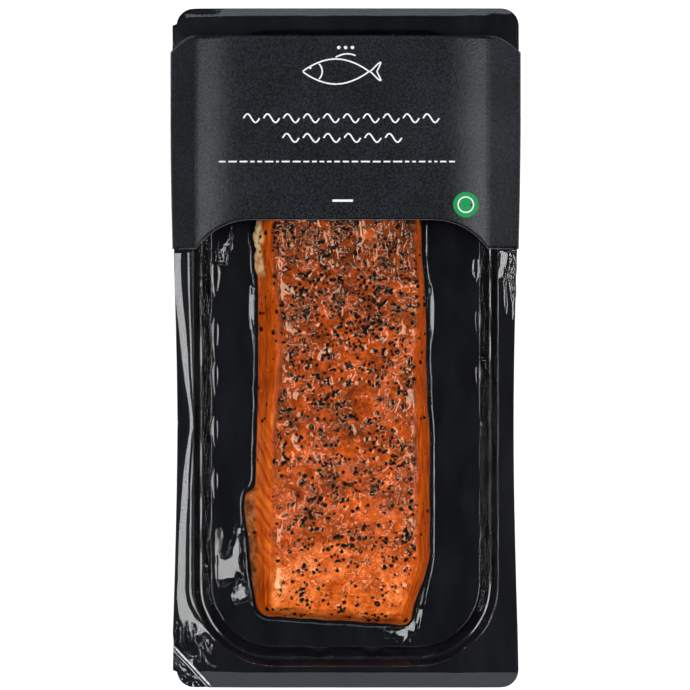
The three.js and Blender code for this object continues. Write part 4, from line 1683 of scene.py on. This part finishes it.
    def obstacles(self, pieces: list[Piece], x: Grid, y: Grid) -> Grid:
        """Height of whatever lies under the film.

        Args:
            pieces: The fillet and its pepper.
            x: Places across.
            y: Places along.

        Returns:
            Heights, or the bare floor where nothing lies.
        """
        tree = tree_over(pieces)
        above, down = self.levels.sleeve_top + 10, Vector((0, 0, -1))
        heights = np.full(x.size, self.levels.floor)
        for i, (px, py) in enumerate(zip(x.ravel(), y.ravel())):
            hit = tree.ray_cast(Vector((px, py, above)), down)[0]
            if hit is not None:
                heights[i] = hit.z
        return heights.reshape(x.shape)

    def settle(self, lowest: Grid) -> Grid:
        """Lets the film hang between the things that hold it up.

        Args:
            lowest: Heights that it can't go below, from which it starts.

        Returns:
            Settled heights.
        """
        z = lowest.copy()
        skirt = lowest[1:-1, 1:-1] < self.form.base_z + 0.78 * self.form.thickness
        for turn in range(self.skirt_rounds):
            everywhere = turn >= self.skirt_rounds - self.tent_rounds
            inner = z[1:-1, 1:-1]
            moved = np.maximum(inner + 0.9 * (neighbour_mean(z) - inner), lowest[1:-1, 1:-1])
            z[1:-1, 1:-1] = moved if everywhere else np.where(skirt, moved, inner)
        return z

    def crinkle(self, x: Grid, y: Grid, held: Grid) -> Grid:
        """Where the film is finely crumpled, from 0 to 1.

        Args:
            x: Places across.
            y: Places along.
            held: 1 over the top of the fillet, 0 elsewhere.

        Returns:
            Share of crumpling.
        """
        patches = smooth(0.0, 0.55, noise(x, y, 10, 51, 2) + 0.5 * noise(x, y, 4, 52))
        more, start, full = self.upper_crinkle
        near_more, middle, half = self.near_crinkle
        share = self.least_crinkle + (1 - self.least_crinkle) * patches + more * smooth(start, full, y)
        return held * np.clip(share + near_more * hump(y, middle, half), 0, 1)

    def over_fillet(self, pieces: list[Piece]) -> tuple[Piece, Grid]:
        """Makes the film over the fillet.

        Args:
            pieces: The fillet and its pepper.

        Returns:
            The piece, and the points of its edge.
        """
        x, y = self.grid()
        ground = self.ground(x, y)
        under = self.obstacles(pieces, x, y)
        on_fish = under > self.levels.floor + 0.05
        lowest = np.where(on_fish, np.maximum(under + 0.06, ground), ground)
        share = (under - self.form.base_z) / self.form.thickness
        held = smooth(0.6, 0.85, share)
        over_grains = under - evened(under, self.level_rounds)
        crumple = self.crinkle(x, y, held) * (0.25 + 0.75 * smooth(0.4, 0.1, over_grains))
        z = self.settle(lowest)
        for _ in range(self.taut_rounds):
            z[1:-1, 1:-1] += held[1:-1, 1:-1] * (neighbour_mean(z) - z[1:-1, 1:-1])
        z += self.taut_lift * held
        lift = z - ground
        toed = np.interp(lift, [0, self.toe, 3], [0, self.toe * self.toe_share, 3])
        z = ground + np.where(on_fish | (lift > 3), lift, np.maximum(toed, self.raised(x, y)))
        bent = x + 0.35 * noise(*turned(x, y), 2.0, 64)
        folds = held * np.maximum(self.pleats.lift(bent, y, crumple), self.ribbons.lift(bent, y, held))
        bridge = evened(z, self.bridge_rounds)
        z = z + smooth(0.01, 0.08, folds) * (bridge + self.bridge_lift - z) + folds
        z = z + crumple * self.crumple_height * (noise(*turned(x, y), self.crumple_size, 61) + 0.4)
        points = np.stack([x, y, z], axis=-1)
        piece = make_object("film_over_fillet", points, [grid_quads(*x.shape)])
        set_attribute(piece, "crinkle", crumple)
        set_attribute(piece, "oily", smooth(0.2, 0.6, share))
        return piece, outline_of(points)

    def over_tray(self, edge: Grid) -> Piece:
        """Makes the film over flange, walls and floor.

        Args:
            edge: Points where it meets the film over the fillet.

        Returns:
            The piece.
        """
        feet, directions, inner_reach = self.cavity.feet(edge[:, :2])
        path = self.cavity.wall(self.levels, False, self.stand_off, self.rounding_steps)
        path[:, 2] *= self.bridged
        travelled = np.concatenate([[0], np.cumsum(np.hypot(*np.diff(path[:, :2], axis=0).T))])
        flat_from = travelled[path[:, 1] < self.levels.floor + 0.5][0]
        steps = np.union1d(travelled, np.arange(flat_from, travelled[-1], self.foot_step))
        path = np.column_stack([np.interp(steps, travelled, column) for column in path.T])
        outer = ring_shell(feet, directions, self.cavity, self.flange, path, self.flange_rings)
        x, y, z = np.moveaxis(outer, -1, 0)
        on_wall = smooth(self.levels.flange, self.levels.flange - 2, z) * smooth(self.levels.floor, 5, z)
        low = smooth(self.levels.floor + 3, self.levels.floor + 1, z)
        outer[..., 2] += low * (self.ground(x, y) + self.raised(x, y) - self.levels.floor - self.stand_off)
        outer[..., 2] += 0.02 * on_wall * noise(x, y, 9, 44, 2)
        reach = np.concatenate([np.full(self.flange_rings, 99.0), path[:, 0]])[:, None]
        ledge = self.cavity.ledge_outer - self.cavity.ledge_inner
        past_ledge = np.clip(self.cavity.ledge_outer - reach, 0, ledge)
        dash = sum(smooth(-0.5, 0.5, y - low_y) * smooth(0.5, -0.5, y - high_y) * (x * side > 0)
                   for side, low_y, high_y in self.dashes)
        outer[..., 2] -= self.dash_slope * dash * past_ledge * smooth(self.levels.floor + 1, 6, z)
        start = path[-1, 0]
        floor = []
        for share in np.linspace(0, 1, self.floor_rings + 1)[1:]:
            plan = feet + directions * (start + (inner_reach - start) * share)[:, None]
            x, y = plan.T
            floor.append(np.column_stack([plan, self.ground(x, y) + self.raised(x, y)]))
        floor[-1] = edge
        rings = np.concatenate([outer, floor])
        x, y = rings[..., 0], rings[..., 1]
        (peel_x, peel_y), (facing_x, facing_y) = self.flange.score.start, self.peel_facing
        past_score = -(x - peel_x) * facing_x - (y - peel_y) * facing_y
        peel = smooth(0, 3, past_score) * (rings[..., 2] > self.levels.flange - 2)
        rings[..., 2] += peel * (self.peel_height + 1.1 * noise(x, y, 3.6, 71) + 0.3 * ridges(x, y, 4.0, 72))
        quads = grid_quads(len(rings), len(edge), ring=True)
        piece = make_object("film_over_tray", rings, [quads])
        set_attribute(piece, "crinkle", 0.01 + 0.25 * peel)
        return piece

    def build(self, pieces: list[Piece]) -> list[Piece]:
        """Makes the whole film.

        Args:
            pieces: The fillet and its pepper.

        Returns:
            The finished pieces.
        """
        inner, edge = self.over_fillet(pieces)
        made = [inner, self.over_tray(edge)]
        material = self.finish.make()
        for piece in made:
            piece.data.materials.append(material)
            place(piece, "clear_film", "skin_film")
        return made


@dataclass
class PeelScore:
    """The scored crease across the corner where the film is peeled: one wide and one fine raised line."""

    start: Pair = (-60.6, -105.2)
    end: Pair = (-47.6, -119.6)
    lines: Pairs = ((0.0, 0.72), (-1.05, 0.26))
    height: float = 0.16
    search_z: float = 16.0
    steps: int = 60
    # Its pale finish paints the crease's bright highlight line as well as the bent plastic's paleness.
    finish: PaleHighlightPlastic = PaleHighlightPlastic()

    def build(self, film: Piece) -> Piece:
        """Makes the crease on the film.

        Args:
            film: The film over the tray.

        Returns:
            The finished piece.
        """
        tree = tree_over([film])
        start, end = np.array(self.start), np.array(self.end)
        along = unit(end - start)
        aside = np.array([-along[1], along[0]])
        t = np.linspace(0, 1, self.steps)[:, None]
        made, faces = [], []
        for offset, width in self.lines:
            wander = 0.06 * noise(t * 40, t * 0 + offset, 3.0, 77)
            middle = start + (end - start) * t + aside * (offset + wander)
            taper = np.clip(np.minimum(t, 1 - t) * 12 + 0.25, 0, 1)
            section = []
            for share, rise in ((-0.5, -0.3), (-0.3, 0.6), (0.0, 1.0), (0.3, 0.6), (0.5, -0.3)):
                plan = middle + aside * share * width * taper
                ground = np.array([tree.find_nearest(Vector((*p, self.search_z)))[0].z for p in plan])
                section.append(np.column_stack([plan, ground + self.height * rise]))
            count = len(section)
            quads = grid_quads(self.steps, count, ring=True)
            caps = [list(range(count)), list(range(self.steps * count - 1, (self.steps - 1) * count - 1, -1))]
            base = sum(len(part) for part in made)
            made.append(np.stack(section, axis=1).reshape(-1, 3))
            faces += [quads[:, ::-1] + base, np.array(caps) + base]
        piece = make_object("peel_score", np.concatenate(made), faces, self.finish.make())
        place(piece, "black_tray_plastic")
        return piece


@dataclass
class Sleeve:
    """The card sleeve: a folded band with an arched edge over the fillet."""

    levels: Levels
    flange: Flange
    card: float = 0.4
    low_y: float = 35.0
    high_y: float = 109.8
    overhang: float = 0.75
    front_crease: float = 51.4
    front_shift: float = -1.25
    back_crease: float = 51.5
    fold_half: float = 1.5
    arch_flat: float = 31.8
    arch_radius: float = 26.1
    arch_rise: float = 10.1
    clip_x: float = 53.0
    clip_width: float = 8.5
    clip_drop: float = 5.0
    cut_slant: float = 0.12
    crown: float = 1.6
    crown_x: float = 36.0
    rows: int = 56
    point_gap: float = 1.4
    fold_cuts: Row = (0.9, 0.9, 0.9, 0.8)
    fold_steps: int = 7
    finish: SlateCard = SlateCard()
    core: CardCore = CardCore()
    dents: tuple[Ridge, ...] = (
        Ridge((62.0, 65.0), (53.0, 58.0), 1.3, -0.35), Ridge((-60.0, 78.0), (-56.0, 70.0), 2.0, -0.15))

    def half_width(self, y: Grid) -> Grid:
        """Half the sleeve's width at this distance along the pack."""
        return self.flange.half_x - self.flange.bow * self.flange.pull(y) + self.overhang

    def near_edge(self, x: Grid, front: Grid) -> Grid:
        """The edge towards the fillet: an arch between the front creases, straight elsewhere.

        Args:
            x: Places across.
            front: 1 on the front, 0 on the back.

        Returns:
            Distance along the pack.
        """
        whole = self.front_crease - self.arch_flat
        past = np.clip(np.abs(x) - self.arch_flat, 0, whole)
        drop, full = (self.arch_radius - np.sqrt(self.arch_radius**2 - p**2) for p in (past, whole))
        return self.low_y + self.arch_rise * (1 - drop / full) * front

    def far_edge(self, x: Grid) -> Grid:
        """The other edge, with its corners clipped."""
        past = np.maximum(0, (np.abs(x) - self.clip_x) / self.clip_width)
        return self.high_y - self.clip_drop * past**1.6

    def section(self) -> Grids:
        """Closed outer section of the band.

        Returns:
            Points across and up, and whether each is on the front.
        """
        top, edge = self.levels.sleeve_top, self.levels.flange
        outer = self.flange.half_x + self.overhang
        corners = [(0.0, top), (self.front_crease, top), (outer, edge + self.fold_half),
                   (outer, edge - self.fold_half), (self.back_crease, 0.0), (0.0, 0.0)]
        half = rounded_path(corners, self.fold_cuts, self.fold_steps)
        dense = [half[:1]]
        for a, b in zip(half[:-1], half[1:]):
            pieces = max(1, int(np.linalg.norm(b - a) / self.point_gap))
            dense.append(a + (b - a) * (np.arange(1, pieces + 1) / pieces)[:, None])
        half = np.concatenate(dense)
        mirrored = half[-2:0:-1] * np.array([-1, 1])
        ring = np.concatenate([half, mirrored])
        return ring, (ring[:, 1] > edge).astype(float)

    def warp(self, x: Grid, y: Grid) -> Grid:
        """How far the card stands off flat: its slight waves, its crown and its dents.

        Args:
            x: Places across.
            y: Places along.

        Returns:
            Height at each place.
        """
        waves = 0.1 * noise(x, y, 34, 81, 2)
        past = (np.abs(x) - self.crown_x) / (self.front_crease - self.crown_x)
        return waves - self.crown * np.clip(past, 0, 1) ** 2 + sum(d.lift(x, y) for d in self.dents)

    def face(self, inset: float) -> Grid:
        """One face of the card.

        Args:
            inset: 0 for the outer face, the card's thickness for the inner one.

        Returns:
            Rows by points by three coordinates.
        """
        ring, front = self.section()
        along = unit(np.roll(ring, -1, axis=0) - np.roll(ring, 1, axis=0))
        shaped = ring + np.column_stack([along[:, 1], -along[:, 0]]) * inset
        outer = self.flange.half_x + self.overhang
        flat_x = ring[:, 0]
        near, far = self.near_edge(flat_x, front), self.far_edge(flat_x)
        near = near - self.cut_slant * front * (inset > 0)
        aside = np.clip((outer - np.abs(flat_x)) / (outer - self.front_crease), 0, 1)
        past = np.clip((np.abs(flat_x) - self.front_crease) / (outer - self.front_crease), 0, 1)
        shaped[:, 0] += self.front_shift * front * aside
        rows = []
        for share in np.linspace(0, 1, self.rows):
            y = near + (far - near) * share
            x = shaped[:, 0] - np.sign(flat_x) * past * (outer - self.half_width(y))
            lift = self.warp(flat_x, y) * smooth(2, 12, ring[:, 1])
            rows.append(np.column_stack([x, y, shaped[:, 1] + lift]))
        return np.array(rows)

    def build(self) -> Piece:
        """Makes the sleeve.

        Returns:
            The finished piece.
        """
        outer, inner = self.face(0.0), self.face(self.card)
        rings = np.concatenate([outer, inner[::-1]])
        count = rings.shape[1]
        quads = grid_quads(len(rings) + 1, count, ring=True) % (len(rings) * count)
        piece = make_object("card_band", rings, [quads], self.finish.make(), self.core.make())
        band = np.arange(len(quads)) // count
        cut = (band == self.rows - 1) | (band == len(rings) - 1)
        piece.data.polygons.foreach_set("material_index", cut.astype(np.int32))
        piece.data.polygons.foreach_set("use_smooth", ~cut)
        place(piece, "slate_card", "card_sleeve")
        return piece


@dataclass
class Print:
    """Generic marks on the sleeve's front: a line-drawn fish over waves, dashes, and a green disc."""

    sleeve: Sleeve
    white: Ink = Ink("white_ink", (196, 198, 200), (232, 233, 232))
    green: Ink = Ink("green_ink", (14, 122, 62), (18, 140, 74))
    thickness: float = 0.03
    stroke: float = 0.5
    disc_points: int = 40
    badge: Pair = (42.2, 50.3)
    badge_radius: float = 4.45
    badge_ring: float = 2.7
    fish_y: float = 97.0
    dots_y: float = 105.4
    wave_rows: Triples = ((80.6, -36.5, 33.5), (73.7, -22.8, 20.4))
    wave_length: float = 7.0
    wave_height: float = 1.5
    dash_y: float = 65.4
    dash_x: Pair = (-44.5, 42.0)
    bar: Pairs = ((-4.6, 51.7), (2.6, 51.7))

    def on_card(self, points: Grid) -> Grid:
        """Lifts plan points onto the front of the card.

        Args:
            points: Rows of two coordinates.

        Returns:
            Rows of three coordinates.
        """
        flat_x = points[:, 0] - self.sleeve.front_shift
        height = self.sleeve.levels.sleeve_top + self.sleeve.warp(flat_x, points[:, 1])
        return np.column_stack([points, height + self.thickness])

    def ribbon(self, line: Grid, width: float, closed: bool = False) -> Grids:
        """A stroke along a line.

        Args:
            line: Points of the line.
            width: Width of the stroke.
            closed: Whether the line is a loop.

        Returns:
            Points and quads.
        """
        if closed:
            along = unit(np.roll(line, -1, axis=0) - np.roll(line, 1, axis=0))
        else:
            along = unit(np.gradient(line, axis=0))
        across = np.column_stack([-along[:, 1], along[:, 0]]) * width / 2
        points = np.concatenate([line - across, line + across])
        count = len(line)
        i = np.arange(count if closed else count - 1)
        j = (i + 1) % count
        return self.on_card(points), np.column_stack([i, j, j + count, i + count])

    def disc(self, centre: Pair, radius: float) -> Grids:
        """A filled disc.

        Args:
            centre: Its middle.
            radius: Its radius.

        Returns:
            Points and triangles.
        """
        count = self.disc_points
        points = np.concatenate([[centre], circle(centre, radius, count)])
        i = np.arange(count)
        return self.on_card(points), np.column_stack([i * 0, i + 1, (i + 1) % count + 1])

    def fish(self) -> list[Grids]:
        """A simple fish in outline, with a gill line, an eye and a back fin.

        Returns:
            Points and faces of each stroke.
        """
        t = np.linspace(0, 1, 60)
        body_x = -15 + 27.5 * t
        swing = 4.4 * np.sin(np.clip(t / 0.84, 0, 1) * math.pi) ** 0.85
        tail = 3.2 * smooth(0.84, 1.0, t)
        upper = np.column_stack([body_x, swing - tail])
        lower = np.column_stack([body_x, tail - swing])
        fork = np.array([[12.5, -3.2], [11.0, 0.0], [12.5, 3.2]])
        angle = np.linspace(-0.9, 0.9, 12)
        gill = np.column_stack([-11.2 + 3.0 * np.cos(angle), 3.4 * np.sin(angle)])
        fin = np.column_stack([np.linspace(-3.5, 3.5, 12), 4.9 + 1.3 * np.sin(np.linspace(0.1, 2.6, 12))])
        lines = [line + [0.0, self.fish_y] for line in (upper, lower, fork, gill, fin)]
        eye = self.disc((-12.4, self.fish_y + 1.3), 0.45)
        return [self.ribbon(line, self.stroke) for line in lines] + [eye]

    def waves(self) -> list[Grids]:
        """Two rows of short waves, a row of fine dashes under them, and a short bar.

        Returns:
            Points and faces of each stroke.
        """
        made = []
        t = np.linspace(0, 1, 16)
        for y, low, high in self.wave_rows:
            count = round((high - low) / self.wave_length)
            length = (high - low) / count
            for k in range(count):
                x = low + length * (k + 0.1 + 0.8 * t)
                wave = np.column_stack([x, y + self.wave_height * np.sin(TAU * t)])
                made.append(self.ribbon(wave, self.stroke * 1.1))
        x, end = self.dash_x
        for length in np.random.default_rng(7).uniform(1.0, 3.2, 40):
            if x + length > end:
                break
            made.append(self.ribbon(np.array([[x, self.dash_y], [x + length, self.dash_y]]), 0.55))
            x += length + 1.0
        made.append(self.ribbon(np.array(self.bar), 0.8))
        return made

    def merged(self, name: str, parts: list[Grids], ink: Ink) -> Piece:
        """Joins printed shapes of one ink into a piece.

        Args:
            name: Name of the piece.
            parts: Points and faces of each shape.
            ink: Its ink.

        Returns:
            The finished piece.
        """
        starts = np.cumsum([0] + [len(points) for points, _ in parts])
        faces = [quads + start for (_, quads), start in zip(parts, starts)]
        piece = make_object(name, np.concatenate([points for points, _ in parts]), faces, ink.make())
        place(piece, "slate_card")
        return piece

    def build(self) -> list[Piece]:
        """Prints every mark.

        Returns:
            The finished pieces, one for each ink.
        """
        ring_points, ring_faces = self.ribbon(circle(self.badge, self.badge_ring, 48), 0.45, closed=True)
        ring_points[:, 2] += self.thickness
        dots = [self.disc((x, self.dots_y), 0.6) for x in (-2.4, 0.0, 2.4)]
        white = self.fish() + self.waves() + dots + [(ring_points, ring_faces)]
        green = [self.disc(self.badge, self.badge_radius)]
        return [self.merged("print_white", white, self.white), self.merged("print_green", green, self.green)]


@dataclass(frozen=True)
class SoftBox:
    """A rectangular studio light, aimed down at the pack; one on its left or right stays parallel to it."""

    name: str
    place: Triple
    round_zenith: float
    to_zenith: float
    radiance: float
    tint: Triple = (1.0, 1.0, 1.0)
    mirrored: bool = True

    def build(self) -> None:
        """Adds the light."""
        data = bpy.data.lights.new(self.name, "AREA")
        data.shape = "RECTANGLE"
        data.size, data.size_y = self.round_zenith, self.to_zenith
        data.energy = self.radiance * math.pi * self.round_zenith * self.to_zenith
        data.color = self.tint
        light = bpy.data.objects.new(self.name, data)
        light.location = self.place
        away = Vector(self.place)
        if abs(away.y) <= abs(away.x):
            away.y = 0.0
        light.rotation_mode = "QUATERNION"
        light.rotation_quaternion = away.to_track_quat("Z", "Y")
        light.visible_camera = False
        light.visible_glossy = self.mirrored
        bpy.context.scene.collection.objects.link(light)


@dataclass
class Studio:
    """Pale floor, soft lights and the camera straight above the pack."""

    frame_width: float = 243.7
    level: float = 13.9
    camera_height: float = 1150.0
    camera_x: float = -0.2
    camera_y: float = 1.05
    sensor: float = 36.0
    sky_tint: Rgba = (0.93, 0.97, 1.0, 1.0)
    sky: Pairs = ((0.3, 0.16), (0.9, 0.03))
    floor_reach: Row = (-4000, -2500, -1200, -400, 0, 400, 1200, 2500, 4000)
    floor_curl: float = 300.0
    boxes: tuple[SoftBox, ...] = (
        SoftBox("over_right", (0.41, -0.05, 0.92), 0.54, 0.24, 9.0),
        SoftBox("over_left", (-0.39, -0.05, 0.92), 0.54, 0.2, 9.0),
        SoftBox("right_box", (0.72, -0.03, 0.68), 0.42, 0.12, 8.0),
        SoftBox("left_box", (-0.72, -0.03, 0.68), 0.42, 0.1, 7.0),
        SoftBox("far_box", (0.0, 0.7, 0.72), 0.4, 0.08, 7.0),
        SoftBox("fill_right", (0.55, 0.1, 0.95), 0.7, 0.7, 1.7, mirrored=False),
        SoftBox("fill_left", (-0.55, 0.1, 0.95), 0.7, 0.7, 1.6, mirrored=False),
        SoftBox("right_low", (0.94, 0.1, 0.34), 0.6, 0.35, 0.8),
        SoftBox("left_low", (-0.94, 0.1, 0.34), 0.6, 0.35, 0.35),
        SoftBox("near_panel", (0.0, -0.42, 0.93), 0.6, 0.2, 1.4, (0.8, 0.9, 1.0)),
        SoftBox("far_panel", (0.0, 0.43, 0.93), 0.6, 0.12, 2.2, (0.85, 0.93, 1.0)))

    def camera(self) -> None:
        """Adds the camera."""
        data = bpy.data.cameras.new("camera")
        data.sensor_width = self.sensor
        data.lens = self.sensor * (self.camera_height - self.level) / self.frame_width
        data.clip_start, data.clip_end = 0.05, 50.0
        camera = bpy.data.objects.new("camera", data)
        camera.location = (self.camera_x * MM, self.camera_y * MM, self.camera_height * MM)
        bpy.context.scene.collection.objects.link(camera)
        bpy.context.scene.camera = camera

    def floor(self) -> None:
        """Adds the floor, a wide sheet that curves up at its edges."""
        x, y = np.meshgrid(self.floor_reach, self.floor_reach)
        lift = self.floor_curl * smooth(2400, 4000, np.hypot(x, y))
        points = np.stack([x, y, lift - 0.02], axis=-1)
        make_object("floor", points, [grid_quads(*x.shape)], StudioFloor().make())

    def world(self) -> None:
        """Sets the dim light that fills the shadows, weaker high up, where the film would mirror it."""
        world = bpy.data.worlds.new("studio")
        world.use_nodes = True
        tree = world.node_tree
        background = tree.nodes["Background"]
        background.inputs["Color"].default_value = self.sky_tint
        add = Nodes(tree).node
        way = add("ShaderNodeTexCoord").outputs["Generated"]
        height = add("ShaderNodeSeparateXYZ", {0: way}).outputs["Z"]
        (low, low_sky), (high, high_sky) = self.sky
        fade = add("ShaderNodeMapRange", {0: height, 1: low, 2: high, 3: low_sky, 4: high_sky})
        tree.links.new(fade.outputs[0], background.inputs["Strength"])
        bpy.context.scene.world = world

    def build(self) -> None:
        """Sets up the whole studio."""
        self.camera()
        self.floor()
        self.world()
        for box in self.boxes:
            box.build()
        bpy.context.scene.view_settings.view_transform = "Standard"
        bpy.context.scene.view_settings.look = "None"


def main() -> None:
    """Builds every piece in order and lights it."""
    logging.basicConfig(level=logging.INFO, format="%(message)s")
    levels = Levels.from_frame()
    tray = Tray(levels)
    tray.build()
    form = FilletForm(base_z=levels.fillet)
    flesh = Fillet(form).build()
    grains = Pepper().build(flesh)
    film = Film(levels, form, tray.cavity, tray.flange).build([flesh, *grains])
    PeelScore().build(film[1])
    sleeve = Sleeve(levels, tray.flange)
    sleeve.build()
    Print(sleeve).build()
    Studio().build()
    bpy.context.view_layer.update()


if __name__ == "__main__":
    main()
